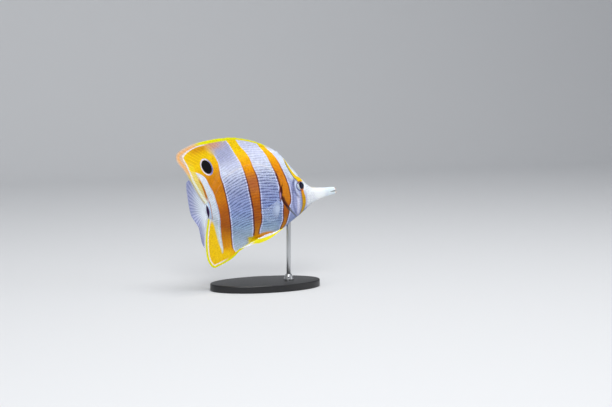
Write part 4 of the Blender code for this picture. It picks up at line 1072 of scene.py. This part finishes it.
# Each row across the rays: place along the ray as a fixed part and a share, and thickness left there
rows = [(-1.6, 0.0, 0.0), (-1.3, 0, 0.8), (-0.8, 0, 1.0)]
rows += [(0.0, up, 1.0) for up in np.linspace(0, 0.985, 44)]
rows += [(-0.2, 1, 0.85), (-0.09, 1, 0.6), (-0.02, 1, 0.3), (0, 1, 0.0)]
offset, up, round_off = (column[:, None] for column in np.array(rows).T)
part = cell - np.floor(cell)
reach = offset + up * (length - 0.22 * np.sin(math.pi * part) ** 1.5)
fan = np.where(share > 0, TAIL_FAN_UP, TAIL_FAN_DOWN)
angle = share * fan
turn = np.radians(smooth_line(TAIL_TWIST)(share)) * np.clip(3 * reach / length, 0, 1)
behind = reach * np.cos(angle) + aside * np.sin(angle)
height = share * TAIL_ROOT_HEIGHT / 2 + reach * np.sin(angle) + aside * np.cos(angle)
middle = np.stack([TAIL_ROOT_X - behind * np.cos(turn), -behind * np.sin(turn), height], axis=-1)
normal = np.stack([-np.sin(turn), np.cos(turn), 0 * turn], axis=-1)
out = np.clip(reach / length, 0, 1)
pitch = np.clip(reach, 0, None) * 2 * fan / (TAIL_RAYS - 1) + TAIL_ROOT_HEIGHT / (TAIL_RAYS - 1)
# Each ray's two branches part, and part again further out
from_branch = np.minimum(part, 1 - part) - 0.14 * fade(out, 0.3, 0.75)
second = 0.1 * fade(out, 0.6, 1.0)
off = np.minimum(np.abs(from_branch - second), np.abs(from_branch + second)) * pitch
crest = bell(off, 0.3 - 0.12 * out)
half = (0.16 + 1.0 * (1 - out) ** 4 + (0.3 - 0.16 * out) * crest) * round_off * closing_in
tail = thick_sheet("tail_fin_sheet", middle, half, normal, ray=crest, out=out)
# The tail runs from pale at its root to darker blue-grey at its margin; the darkening is painted shade of
# the fan turning from the light
finished(tail, clear_fin_material("tail_skin", srgb(226, 236, 244), srgb(142, 152, 200), 0.72, 0.92),
         "clear_fin", "tail_fin")

# Breast fins
# Fans of fifteen fine rays held out from the flank. Their skin is so clear that the body shows
# through it; only the rays, the thick upper edge and a painted highlight near the root can be seen.

PECTORAL_RAYS, PECTORAL_SINK, PECTORAL_BOW = 15, 1.4, 1.6
PECTORAL_ROOT = [(72.0, -3.0), (70.4, -9.6)]
PECTORAL_LENGTHS, PECTORAL_ANGLES = (27, 12), (math.radians(14), math.radians(84))
PECTORAL_SPLAY = {"right": math.radians(24), "left": math.radians(36)}
FAN_CELL = np.array([0, 0.08, 0.16, 0.25, 0.37, 0.5, 0.63, 0.75, 0.84, 0.92])

# A more opaque, whiter patch near the root is a painted highlight
pectoral_material = clear_fin_material("breast_fin_skin", srgb(206, 222, 246), srgb(184, 204, 240), 0.07,
                                       0.26, 0.2, (66.0, -12.5, 6.5, 8.0))


def between_ends(ends, share):
    """The value, or the point, at this share of the way from one end to the other."""
    return ends[0] + (ends[1] - ends[0]) * share


def ray_crest(middle, part, branch, half):
    """1 on the rays of a fan, which lie at the ends of its cells and part by branch, 0 off them."""
    pitch = np.linalg.norm(np.gradient(middle, axis=1), axis=-1) * len(FAN_CELL) + 0.01
    return bell(np.abs(np.minimum(part, 1 - part) - branch) * pitch, half)


def fan_sheet(name, middle, half, reached, rim_from, beside_edge, side, **kept):
    """A fan as a closed sheet, thinned towards its rim and its two side edges."""
    half = half * np.where(reached > 0.999, 0, np.where(reached > rim_from, 0.6, 1))
    half[:, [1, -2]] *= beside_edge
    half[:, [0, -1]] = 0
    half[0] = 0
    normal = unit(np.cross(np.gradient(middle, axis=1), np.gradient(middle, axis=0))) * -side
    return thick_sheet(name + "_sheet", middle, half, normal, **kept)


for word, side in SIDES.items():
    cell = np.array([i + part for i in range(PECTORAL_RAYS - 1) for part in FAN_CELL] + [PECTORAL_RAYS - 1])
    along = cell / (PECTORAL_RAYS - 1)
    part = cell - np.floor(cell)
    splay = PECTORAL_SPLAY[word]
    back_way = np.array((-math.cos(splay), side * math.sin(splay), 0))
    root = [np.array((x, side * (flank(x, z) - PECTORAL_SINK), z)) for x, z in PECTORAL_ROOT]
    angle = between_ends(PECTORAL_ANGLES, along)[:, None]
    reach = between_ends(PECTORAL_LENGTHS, along**1.3)[:, None]
    way = np.cos(angle) * back_way + np.sin(angle) * unit(root[1] - root[0])
    out = np.concatenate([np.linspace(0, 0.985, 40), [0.992, 0.997, 1.0]])[:, None, None]
    scallop = (1 - 0.018 * np.sin(math.pi * part) ** 1.5)[:, None]
    middle = between_ends(root, along[:, None]) + way * reach * out * scallop
    middle = middle + np.array((0, side * PECTORAL_BOW, 0)) * np.sin(math.pi * out)
    out = np.broadcast_to(out[..., 0], middle.shape[:2])
    crest = ray_crest(middle, part, 0.13 * fade(out, 0.45, 1.0), 0.2)
    edge_ray = fade(along, 0.07, 0.0)
    half = 0.1 + 0.6 * (1 - out) ** 4 + (0.2 - 0.1 * out) * crest + 0.12 * edge_ray
    piece = fan_sheet("pectoral_fin_" + word, middle, half, out, 0.99, 0.7, side,
                      ray=np.maximum(crest, edge_ray), out=out)
    finished(piece, pectoral_material, "clear_fin", "pectoral_fin_" + word)

# Belly fins
# Each has one spine and five rays, folded back under the belly. The outer edge is lemon yellow, the
# rest white, and the first ray runs out into a thread.

PELVIC_ROOT = [(71.4, 2.3, -33.5), (64.4, 2.9, -34.6)]
PELVIC_TIPS = [(45.0, 3.0, -42.3), (25.0, 4.6, -42.5), (35.5, 5.6, -39.4), (43.5, 6.4, -36.8),
               (50.5, 7.0, -35.0), (56.5, 7.2, -34.2)]
PELVIC_BOW = (2.1, 0.8)

pelvic_material = plain_material("belly_fin_skin", (1, 1, 1), 0.4)
w = Wiring(pelvic_material.node_tree)
yellow = w.times(w.step(w.attribute("rim"), 0.66, 0.46),
                 w.step(w.split(w.attribute("place", "Vector"))[0], 35, 41))
colour = w.mix(yellow, srgb(250, 250, 255), srgb(255, 244, 0))
between_rays = w.times(w.step(w.attribute("ray"), 0.5, 0.0), 0.25)
colour = w.mix(between_rays, colour, srgb(190, 190, 214), "MULTIPLY")
# The fin glows a little: painted light that keeps its white and yellow bright under the belly
w.surface({"Base Color": colour, "Emission Color": colour, "Emission Strength": 0.28})

for word, side in SIDES.items():
    root, tips = np.array(PELVIC_ROOT) * (1, side, 1), np.array(PELVIC_TIPS) * (1, side, 1)
    last = len(tips) - 1
    cell = np.concatenate([i + FAN_CELL for i in range(last)] + [[last]])
    along = (cell / last)[:, None]
    below = np.clip(cell.astype(int), 0, last - 1)
    part = cell - below
    notch = 0.25 * np.sin(math.pi * part) ** 1.2
    end = between_ends((tips[below], tips[below + 1]), part[:, None])
    start = between_ends(root, along)
    out = np.concatenate([[-0.03, -0.02], np.linspace(0, 0.98, 44), [0.99, 0.996, 1.0]])[:, None, None]
    bow = between_ends(PELVIC_BOW, along) * np.sin(math.pi * np.clip(out, 0, 1))
    middle = start + (end - start) * out * (1 - 0.5 * notch[:, None] * fade(out, 0.5, 1))
    middle = middle - bow * np.array((0, 0, 1))
    out = np.broadcast_to(out[..., 0], middle.shape[:2])
    crest = ray_crest(middle, part, 0, 0.3)
    spine = fade(cell, 0.3, 0.0)
    half = 0.16 + 0.7 * (1 - np.clip(out, 0, 1)) ** 3 + (0.26 - 0.12 * out) * crest + 0.2 * spine * (1 - out)
    piece = fan_sheet("pelvic_fin_" + word, middle, half, out, 0.985, 0.75, side, ray=crest,
                      rim=np.broadcast_to(cell / last, out.shape))
    finished(piece, pelvic_material, "yellow_fin", "pelvic_fin_" + word)

# Scales
# Small rough-edged scales in staggered rows, each lying over the roots of the ones behind it. The rows
# arch over the flank and run on up the fins, nearly to their margins; they shrink on head and stalk.

SCALE_PITCH = 1.55
ROW_PITCH = [(-60, 1.9), (-38, 2.1), (-20, 2.6), (10, 2.8), (24, 2.6), (40, 2.2), (60, 1.9)]
SCALE_REACH, SCALE_SPREAD = 2.05, 1.32
SCALE_SIZE = [(-22, 0.66), (-3, 0.64), (8, 0.8), (22, 1), (70, 1), (82, 0.84), (95, 0.64), (105, 0.5),
              (114, 0.42)]
ROW_ARCH_X, ROW_ARCH, ROW_STEEPEST = 52, 0.0125, 0.36
ROW_WAVE, ROW_WAVE_LENGTH = 0.35, 17
BARE_MARGIN = [(-22, 6.4), (-8, 4.6), (10, 3.9), (30, 3.0), (60, 2.2), (80, 1.5)]
COAT_FRONT_X, COAT_REAR_X, COAT_MOST_ARC = 112, -22, 84
# Across and along one scale: its half width and height at five places from its root to its rim
SCALE_ALONG = [0, 0.3, 0.58, 0.82, 1.0]
SCALE_HALF_WIDTH = [0.62, 0.92, 1.0, 0.88, 0.55]
SCALE_HEIGHT = [-0.12, 0.0, 0.1, 0.19, 0.22]
SCALE_MOST_BEND = 0.12
# What stands for the distance from a margin at a place off the fins
OFF_FINS = 30.0
NOSTRILS = [(102.6, 3.4), (104.0, 1.7)]
# Left bare: the breast fin's base (its middle and half size), the rims of eye and nostrils (how far from
# their middle), and the front of the dorsal and anal fins
BARE_BASE, BARE_EYE, BARE_NOSTRIL, BARE_FRONT_X = (71.4, -6.3, 1.3, 4.2), 6.1, 1.4, 76.5
# How much the scales vary in their places, along and around the flank, and in length and width
PLACE_SLACK, ARC_SLACK, SIZE_SLACK = 0.05, 1.4, 0.03
LATERAL_THICKER, LATERAL_NARROWER, ON_FIN_THINNER = 1.7, 0.8, 0.7
# How far around the flank the scales reach from its widest line
LATTICE_REACH = 78
# The flank's start and span that fill the bake map, and the size of one scale's patch there
PATCH_START, PATCH_SPAN, PATCH_SIZE = (-24, -80), (140, 160), 0.003

scale_size, bare_margin, row_pitch, lateral_height = (
    smooth_line(points) for points in (SCALE_SIZE, BARE_MARGIN, ROW_PITCH, LATERAL_LINE))
SECTION_STEP = 0.5
section_x = np.arange(-3, 115, SECTION_STEP)
section_angle = np.linspace(-math.pi / 2, math.pi / 2, 241)
section = body_point(section_x[:, None], section_angle[None, :], 1)
section_steps = np.diff(section[..., 1:], axis=1, prepend=section[:, :1, 1:])
section_arc = np.cumsum(np.hypot(*section_steps.transpose(2, 0, 1)), 1)
section_arc -= section_arc[:, len(section_angle) // 2, None]


def arc_at(x, angle):
    """How far around the flank, from its widest line, the body lies at this angle."""
    i = np.clip((x - section_x[0]) / SECTION_STEP, 0, len(section_x) - 1.001)
    j = np.clip((angle + math.pi / 2) / (section_angle[1] - section_angle[0]), 0, len(section_angle) - 1.001)
    a, b = i.astype(int), j.astype(int)
    i, j = i - a, j - b
    return ((section_arc[a, b] * (1 - i) + section_arc[a + 1, b] * i) * (1 - j)
            + (section_arc[a, b + 1] * (1 - i) + section_arc[a + 1, b + 1] * i) * j)


def coat_place(x, arc, side):
    """Where this much around the flank lies, on the body or up a fin: in the fish, posed, and more."""
    body_x = np.maximum(x, -3)
    low, high = np.full(x.shape, -math.pi / 2), np.full(x.shape, math.pi / 2)
    for _ in range(22):
        middle = (low + high) / 2
        over = arc_at(body_x, middle) > arc
        high, low = np.where(over, middle, high), np.where(over, low, middle)
    angle = (low + high) / 2
    point = body_point(body_x, angle, side)
    z = point[..., 2]
    past = x - gill_edge(z)
    lift = gill_strength(z) * gill_lift(np.clip(past, 0.35, 14)) * (past > 0)
    out = lift + face_relief(x, z) - coat_depth(x)
    point = point + body_normal(body_x, angle, side) * out[..., None]
    root_x = x.copy()
    margin = np.full(x.shape, OFF_FINS)
    kept = (angle > -1.56) & (angle < 1.56) & (x > -2.4) & (x < COAT_FRONT_X)
    widest = widest_height(body_x)
    for fin in (dorsal, anal):
        front_x, rear_x = fin.roots[0, 0], fin.roots[-1, 0]
        root_share = np.clip((front_x - x) / (front_x - rear_x), 0, 1)
        join_z = fin.line(body_x) - fin.outward * fin.depth(root_share)
        reach = np.abs(fin.line(body_x) - widest)
        past_join = arc - arc_at(body_x, np.arcsin(np.clip((join_z - widest) / reach, -1, 1)))
        above = past_join * fin.outward > 0
        flat = np.stack([x, join_z + past_join], axis=-1)
        share, up_ray, length = fin.locate(flat)
        inside = np.clip(share, 0, 1)
        on_fin = above & (share >= 0) & (up_ray > -fin.depth(inside) - 0.3) & (x < front_x + 1)
        fin_point = np.stack([x, side * fin.half(inside, up_ray), flat[..., 1]], axis=-1)
        point = np.where(on_fin[..., None], fin_point, point)
        root_x = np.where(on_fin, fin.ray(inside)[0][..., 0], root_x)
        distance = fin.from_margin(flat)
        inner = on_fin & (up_ray < length) & (distance > bare_margin(x))
        kept = np.where(above & (x < front_x), inner, kept)
        margin = np.where(on_fin, distance, margin)
    return point, posed(point, root_x), margin, kept


def scale_lattice(chance):
    """Roots of all scales of one flank: x, way round, slope of the row and distance of the rows."""
    half_steps = [COAT_FRONT_X + 2.0]
    while half_steps[-1] > COAT_REAR_X:
        half_steps.append(half_steps[-1] - SCALE_PITCH / 2 * scale_size(half_steps[-1]))
    column_x = np.array(half_steps)
    row = [0.0]
    while row[-1] < COAT_MOST_ARC:
        row.append(row[-1] + row_pitch(row[-1]))
    while row[0] > -COAT_MOST_ARC:
        row.insert(0, row[0] - row_pitch(row[0]))
    column, line = np.meshgrid(np.arange(len(column_x)), np.arange(len(row)))
    chosen = (column + line) % 2 == 0
    x, base = column_x[column[chosen]], np.array(row)[line[chosen]]

    def row_arc(x):
        off, turn = np.abs(x - ROW_ARCH_X), ROW_STEEPEST / ROW_ARCH
        arch = -np.where(off < turn, 0.5 * ROW_ARCH * off**2, ROW_STEEPEST * (off - turn / 2))
        wave = ROW_WAVE * np.sin(2 * math.pi * x / ROW_WAVE_LENGTH + base * 0.55)
        return scale_size(x) * (base + wave + arch * (0.35 + 0.65 * fade(base, -32, -2)))

    slope = row_arc(x + 0.5) - row_arc(x - 0.5)
    shake = chance.normal(0, PLACE_SLACK, (2, len(x)))
    return x + shake[0], row_arc(x) + shake[1] * ARC_SLACK, slope, row_pitch(base)


def scale_piece(name, side):
    chance = np.random.default_rng(7 + side)
    lattice = scale_lattice(chance)
    x, arc, slope, apart = (values[np.abs(lattice[1]) < LATTICE_REACH] for values in lattice)
    size = scale_size(x)
    long = SCALE_PITCH * SCALE_REACH * size
    point, _, margin, kept = coat_place(x, arc, side)
    rear_margin = coat_place(x - long * 0.8, arc, side)[2]
    z = point[:, 2]
    past = x - gill_edge(z)
    slit = (past > -1.5 * gill_strength(z) - 0.1) & (past < 0.9) & (gill_strength(z) > 0.2)
    from_eye = np.minimum(np.hypot(x - EYE_X, z - EYE_Z), np.hypot(x - 0.75 * long - EYE_X, z - EYE_Z))
    fin_base = ((x - BARE_BASE[0]) / BARE_BASE[2]) ** 2 + ((z - BARE_BASE[1]) / BARE_BASE[3]) ** 2 < 1
    fin_front = (margin < OFF_FINS) & (x > BARE_FRONT_X)
    kept = kept & (np.minimum(margin, rear_margin) > bare_margin(x))
    kept = kept & ~slit & (from_eye > BARE_EYE) & ~fin_base & ~fin_front
    for nostril_x, nostril_z in NOSTRILS:
        kept = kept & (np.hypot(x - 0.4 * long - nostril_x, z - nostril_z) > BARE_NOSTRIL)
    x, arc, slope, size, margin, past, apart, long, z = (
        values[kept] for values in (x, arc, slope, size, margin, past, apart, long, z))
    long = np.where((gill_strength(z) > 0.2) & (past > 0), np.minimum(long, past + 0.25), long)
    long = long * fade(x, COAT_FRONT_X + 6, 100) * chance.normal(1, SIZE_SLACK, len(x))
    wide = 0.5 * apart * SCALE_SPREAD * size * chance.normal(1, SIZE_SLACK, len(x))
    thick = size * np.where(margin < OFF_FINS, ON_FIN_THINNER, 1.0) * fade(x, COAT_FRONT_X + 3, 98)
    on_line = (np.abs(z - lateral_height(x)) < 0.6 * apart * size) & (x > 5) & (x < 78)
    thick = np.where(on_line, LATERAL_THICKER * thick, thick)
    wide = np.where(on_line, LATERAL_NARROWER * wide, wide)

    # One scale: five rows of five points, and one under its middle
    along = np.repeat(SCALE_ALONG, 5)
    across = np.tile(np.linspace(-1, 1, 5), 5)
    high = np.append(np.repeat(SCALE_HEIGHT, 5) - 0.09 * across**2, -0.3)
    spread = np.append(np.repeat(SCALE_HALF_WIDTH, 5) * across, 0.0)
    along = np.append(along - 0.12 * across**2 * along, 0.5)
    across = np.append(across, 0.0)
    u, v = long[:, None, None] * along[:, None], wide[:, None, None] * (spread * side)[:, None]

    # The ways back and up along the coat, and how it curves, at each root
    turn = np.arctan(slope)
    step = 0.4
    back_way = np.stack([-np.cos(turn), -np.sin(turn)]) * step
    up_way = np.stack([-np.sin(turn), np.cos(turn)]) * step
    here = coat_place(x, arc, side)
    behind, ahead, over, under = (coat_place(x + move[0], arc + move[1], side)
                                  for move in (back_way, -back_way, up_way, -up_way))
    laid = []
    for space, unit_size in ((0, 1.0), (1, 0.001)):
        start, most = here[space], SCALE_MOST_BEND * unit_size
        tangent_back = (behind[space] - ahead[space]) / (2 * step)
        tangent_up = (over[space] - under[space]) / (2 * step)
        back_bend = np.clip((behind[space] + ahead[space] - 2 * start) / step**2, -most, most)
        up_bend = np.clip((over[space] + under[space] - 2 * start) / step**2, -most, most)
        bend = 0.5 * (back_bend[:, None] * u**2 + up_bend[:, None] * v**2)
        laid.append(start[:, None] + tangent_back[:, None] * u + tangent_up[:, None] * v + bend)
    fish, shown = laid
    normal = unit(np.cross(tangent_back, tangent_up) * side)
    if np.mean(normal[:, 1]) * side < 0:
        normal = -normal
    shown = shown + normal[:, None] * (thick[:, None] * high)[..., None] * 0.001

    # All scales of the flank as one mesh
    count, each = len(x), len(along)
    quads = [(k, k + 5, k + 6, k + 1) for i in range(4) for k in range(i * 5, i * 5 + 4)]
    ring = [0, 1, 2, 3, 4, 9, 14, 19, 24, 23, 22, 21, 20, 15, 10, 5]
    under_side = [(ring[i], ring[(i + 1) % 16], 25) for i in range(16)]
    pattern = np.concatenate([np.array(quads).ravel(), np.array(under_side).ravel()])
    corners = np.arange(count)[:, None] * each + pattern
    sizes = np.tile([4] * len(quads) + [3] * len(under_side), count)
    mesh = bpy.data.meshes.new(name)
    mesh.vertices.add(count * each)
    mesh.vertices.foreach_set("co", shown.reshape(-1))
    mesh.loops.add(corners.size)
    mesh.loops.foreach_set("vertex_index", corners.reshape(-1))
    mesh.polygons.add(len(sizes))
    mesh.polygons.foreach_set("loop_start", np.cumsum(sizes) - sizes)
    mesh.update(calc_edges=True)
    piece = bpy.data.objects.new(name, mesh)
    bpy.context.scene.collection.objects.link(piece)
    remember(piece, "place", fish)
    # How near each point lies to the scale's sides and rim, where its material paints shade of the gaps
    # between scales
    edge = np.clip(np.abs(across), 0, 1) ** 1.5 + 0.35 * fade(along, 0.75, 1.0)
    remember(piece, "edge", np.tile(edge, count))
    remember(piece, "tone", np.repeat(chance.uniform(0, 1, count), each))
    remember(piece, "rim", np.repeat(margin, each))
    patch = 0.02 + 0.96 * (np.stack([x, arc], axis=-1) - PATCH_START) / PATCH_SPAN
    spot = patch[:, None] + PATCH_SIZE * np.stack([0.5 - along, 0.5 * spread], axis=-1)
    layer = mesh.uv_layers.new(name="OFBake")
    layer.data.foreach_set("uv", spot.reshape(-1, 2)[corners.reshape(-1)].reshape(-1))
    select_only(piece)
    bpy.ops.object.shade_smooth_by_angle(angle=math.radians(50))
    finished(piece, scale_material, "scaled_skin")


scale_material = marked_material("fish_scales", "scales", 0.4, 0.12, 0.06)
for word, side in SIDES.items():
    scale_piece("scales_" + word, side)

# Eyes
# Glossy balls set deep in the head. A black pupil, upright and a little pointed to the front, bulges
# from an iris that is pale blue at the back, yellow above and orange below, like the band across it.

EYE_DEPTH_RADIUS, EYE_SINK = 3.3, 2.5
EYE_TURN_FORWARD, EYE_TURN_UP = math.radians(19), math.radians(10)
PUPIL_HALF, PUPIL_GROOVE, IRIS_RADIUS, EYE_FRONT_RADIUS = 2.65, 0.05, 4.55, 5.15
EYE_COLUMNS = 96
# The hidden back of the ball, as radius and depth
EYE_BACK = [(4.75, 0.95), (4.95, 0.3), (4.8, -0.8), (3.8, -1.9), (2.0, -2.5), (0, -2.6)]

eye_surface = plain_material("eye_surface", (0, 0, 0), 0.25)
w = Wiring(eye_surface.node_tree)
eye_place = w.attribute("place", "Vector")
forward, up, ring = w.split(eye_place)
grain = w.noise(eye_place, 2.5, 4.0, 0.7)
iris = w.mix(w.step(grain, 0.3, 0.7), srgb(170, 190, 214), srgb(222, 232, 240))
aside = w.math("ABSOLUTE", w.linear(up, 0.12, forward))
iris = w.mix(w.times(w.step(up, 1.8, 3.2), w.step(aside, 2.6, 1.6)), iris, srgb(178, 78, 40))
dusk = w.times(w.between(up, 2.2, 4.4, 0.7), w.between(forward, -3.6, -0.9, 0.7), 0.8)
iris = w.mix(dusk, iris, srgb(70, 40, 100))
iris = w.mix(w.times(w.step(up, -0.9, -2.0), w.step(aside, 3.0, 1.9)), iris, srgb(226, 120, 20))
iris = w.mix(w.times(w.step(grain, 0.62, 0.4), 0.35), iris, srgb(96, 84, 110))
iris = w.mix(w.step(ring, 1.14, 1.04), iris, srgb(176, 170, 150))
iris = w.mix(w.step(ring, 1.86, 1.97), iris, srgb(128, 134, 170))
w.surface({"Base Color": w.mix(w.step(ring, 1.02, 0.98), iris, srgb(6, 9, 40)), "Specular IOR Level": 0.1,
           "Coat Weight": 0.6, "Coat IOR": 1.33, "Coat Roughness": 0.03})

for word, side in SIDES.items():
    angle = np.linspace(0, 2 * math.pi, EYE_COLUMNS + 1)
    pupil = PUPIL_HALF * (1 + 0.34 * np.sin(angle) ** 2) + 0.22 * np.clip(np.cos(angle), 0, 1) ** 4
    wrinkle = 0.03 * np.sin(22 * angle + 2 * np.sin(3 * angle))
    # Rows as radius, depth past the ball's round front, and place in the pupil (to 1) or iris (to 2)
    rows = [(t * pupil, 0.12 - 0.06 * t**4 + 0 * angle, t) for t in np.linspace(0, 1, 14)]
    rows += [(pupil + PUPIL_GROOVE + (IRIS_RADIUS - pupil - PUPIL_GROOVE) * t,
              -0.16 + 0.10 * t**3 + wrinkle * math.sin(math.pi * t), 1.0 + t) for t in np.linspace(0, 1, 22)]
    radius, raised = (np.array([row[i] for row in rows]) for i in (0, 1))
    depth = EYE_DEPTH_RADIUS * np.sqrt(1 - (radius / EYE_FRONT_RADIUS) ** 2) + raised
    ball_back = np.repeat(np.array(EYE_BACK).T[:, :, None], len(angle), axis=2)
    radius, depth = np.concatenate([radius, ball_back[0]]), np.concatenate([depth, ball_back[1]])
    rings = np.array([row[2] for row in rows] + [2.1] * len(EYE_BACK))
    local = np.stack([radius * np.cos(angle), side * depth, radius * np.sin(angle)], axis=-1)
    centre = Vector(posed((EYE_X, side * (flank(EYE_X, EYE_Z) - EYE_SINK), EYE_Z)))
    turn = Matrix.Rotation(side * -EYE_TURN_FORWARD, 4, "Z") @ Matrix.Rotation(side * EYE_TURN_UP, 4, "X")
    turn = np.array(Matrix.Translation(centre) @ Matrix.Rotation(-PITCH, 4, "Y") @ turn)
    piece = grid_piece("eyeball_" + word, 0.001 * local @ turn[:3, :3].T + turn[:3, 3])
    ring = np.broadcast_to(rings[:, None], radius.shape)
    remember(piece, "place", np.stack([local[..., 0], local[..., 2], ring], axis=-1))
    close_seams(piece)
    finished(piece, eye_surface, "eye", "eye_" + word)

# Nostrils
# Two on each side before the eye, each a small pit in a raised rim of skin; the pit's darkness is
# painted shade, a dark flattened ball set into the rim.

NOSTRIL_SIZE, NOSTRIL_LIFT = (0.001, 0.0008, 0.001, 1), 0.00005

bpy.ops.object.select_all(action="DESELECT")
bpy.ops.mesh.primitive_torus_add(major_segments=28, minor_segments=12, major_radius=0.5, minor_radius=0.15)
nostril = bpy.context.object
nostril.data.materials.append(plain_material("nostril_rim", srgb(226, 222, 236), 0.4))
bpy.ops.object.shade_smooth()
# The pit: a flattened ball in the rim's hole, coloured dark as painted shade of the hole
bpy.ops.mesh.primitive_uv_sphere_add(segments=20, ring_count=10, radius=0.42)
pit = bpy.context.object
bpy.ops.object.mode_set(mode="EDIT")
bpy.ops.mesh.select_all(action="SELECT")
bpy.ops.transform.resize(value=(1, 1, 0.25))
bpy.ops.transform.translate(value=(0, 0, -0.05))
bpy.ops.object.mode_set(mode="OBJECT")
bpy.ops.object.shade_smooth()
pit.data.materials.append(plain_material("nostril_pit", srgb(44, 30, 40), 0.6))
nostril = join([nostril, pit])
for word, side in SIDES.items():
    for number, (x, z) in enumerate(NOSTRILS):
        copy = bpy.data.objects.new("nostril_" + word + "_" + str(number + 1), nostril.data.copy())
        bpy.context.scene.collection.objects.link(copy)
        near = [Vector(posed((near_x, side * flank(near_x, near_z), near_z)))
                for near_x, near_z in ((x, z), (x + 0.3, z), (x, z + 0.3))]
        outward = (near[1] - near[0]).cross(near[2] - near[0]).normalized()
        outward = outward if outward.y * side > 0 else -outward
        turn = outward.to_track_quat("Z", "Y").to_matrix().to_4x4()
        place = Matrix.Translation(near[0] + outward * NOSTRIL_LIFT)
        copy.data.transform(place @ turn @ Matrix.Diagonal(NOSTRIL_SIZE))
        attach(copy, "root")
bpy.data.objects.remove(nostril, do_unlink=True)

# Stand
# A flat oval base, satin black with an eased edge, and one brushed steel rod in a turned collar that
# a small screw clamps. The rod's end is let into the fish's chest.

BASE_LENGTH, BASE_WIDTH, BASE_THICKNESS, BASE_CENTRE, BASE_EDGE = 0.112, 0.062, 0.007, 0.008, 0.0012
STAND_GAP, COLLAR_HEIGHT, COLLAR_LOW, COLLAR_TOP, ROD_RADIUS = 0.0003, 0.005, 0.005, 0.0031, 0.0021
ROD_FISH_X, ROD_IN_COLLAR, ROD_IN_FISH = 79.5, 0.0005, 0.0012
SCREW_RADIUS, SCREW_LENGTH, SCREW_RIM, SCREW_SLOT = 0.0009, 0.0022, 0.0004, 0.0007
SCREW_BEHIND, SCREW_OUT, SCREW_TURN = 0.0014, 0.0038, math.radians(-20)
COLLAR_EDGE, SCREW_EDGE, ROD_EDGE = 0.0004, 0.0001, 0.0002


def bevelled(piece, width, segments):
    rounding = piece.modifiers.new("rounding", "BEVEL")
    rounding.width, rounding.segments = width, segments
    rounding.limit_method, rounding.angle_limit = "ANGLE", math.radians(30)
    select_only(piece)
    bpy.ops.object.modifier_apply(modifier="rounding")
    bpy.ops.object.shade_smooth_by_angle(angle=math.radians(35))


def stand_material(name, colour, metallic, size, detail, factors, span, least):
    """A stand material whose roughness varies with its place, as polish and brushing do."""
    made = plain_material(name, colour, least)
    w = Wiring(made.node_tree)
    place = w.node("TexCoord", {}, "Object")
    uneven = w.noise(w.scaled(place, factors), size, detail)
    w.surface({"Roughness": w.linear(uneven, span, least), "Metallic": metallic})
    return made


black = stand_material("satin_black", srgb(26, 26, 28), 0.0, 900.0, 3.0, (1.0, 1.0, 1.0), 0.16, 0.3)
steel = stand_material("brushed_steel", srgb(196, 198, 200), 1.0, 1.0, 2.0, (1500.0, 1500.0, 40.0), 0.25,
                       0.2)

bpy.ops.object.select_all(action="DESELECT")
bpy.ops.mesh.primitive_cylinder_add(vertices=160, radius=0.5, depth=1)
base = bpy.context.object
base.name = "base_plate"
base.scale = (BASE_LENGTH, BASE_WIDTH, BASE_THICKNESS)
base.location = (BASE_CENTRE, 0, BASE_THICKNESS / 2)
bpy.ops.object.transform_apply(location=True, scale=True)
bevelled(base, BASE_EDGE, 5)
finished(base, black, "stand_black", "stand_base")

rod_foot = posed((ROD_FISH_X, 0, bottom_line(ROD_FISH_X)), root_x=SWING_FRONT + 60)
collar_bottom = BASE_THICKNESS + STAND_GAP
bpy.ops.object.select_all(action="DESELECT")
bpy.ops.mesh.primitive_cone_add(vertices=72, radius1=COLLAR_LOW, radius2=COLLAR_TOP, depth=COLLAR_HEIGHT,
                                location=(rod_foot[0], 0, collar_bottom + COLLAR_HEIGHT / 2))
collar = bpy.context.object
collar.name = "rod_collar"
bpy.ops.object.transform_apply(location=True)
bevelled(collar, COLLAR_EDGE, 3)
finished(collar, steel, "stand_steel", "stand_collar")

bpy.ops.object.select_all(action="DESELECT")
bpy.ops.mesh.primitive_cylinder_add(vertices=28, radius=SCREW_RADIUS, depth=SCREW_LENGTH)
screw = bpy.context.object
screw.name = "collar_screw"
bpy.ops.object.mode_set(mode="EDIT")
bpy.ops.mesh.select_mode(type="FACE")
bpy.ops.mesh.select_all(action="DESELECT")
bpy.ops.object.mode_set(mode="OBJECT")
max(screw.data.polygons, key=lambda face: face.center.z).select = True
bpy.ops.object.mode_set(mode="EDIT")
bpy.ops.mesh.inset(thickness=SCREW_RIM, depth=0)
bpy.ops.mesh.extrude_region_move(TRANSFORM_OT_translate={"value": (0, 0, -SCREW_SLOT)})
bpy.ops.mesh.select_mode(type="VERT")
bpy.ops.object.mode_set(mode="OBJECT")
screw.rotation_euler = (math.radians(90), 0, SCREW_TURN)
screw.location = (rod_foot[0] - SCREW_BEHIND, -SCREW_OUT, collar_bottom + COLLAR_HEIGHT * 0.45)
bpy.ops.object.transform_apply(location=True, rotation=True)
bevelled(screw, SCREW_EDGE, 2)
finished(screw, steel, "stand_steel")

rod_bottom = collar_bottom + COLLAR_HEIGHT - ROD_IN_COLLAR
rod_top = rod_foot[2] + ROD_IN_FISH
bpy.ops.object.select_all(action="DESELECT")
bpy.ops.mesh.primitive_cylinder_add(vertices=64, radius=ROD_RADIUS, depth=rod_top - rod_bottom,
                                    location=(rod_foot[0], 0, (rod_top + rod_bottom) / 2))
rod = bpy.context.object
rod.name = "support_rod"
bpy.ops.object.transform_apply(location=True)
bevelled(rod, ROD_EDGE, 2)
finished(rod, steel, "stand_steel", "stand_rod")
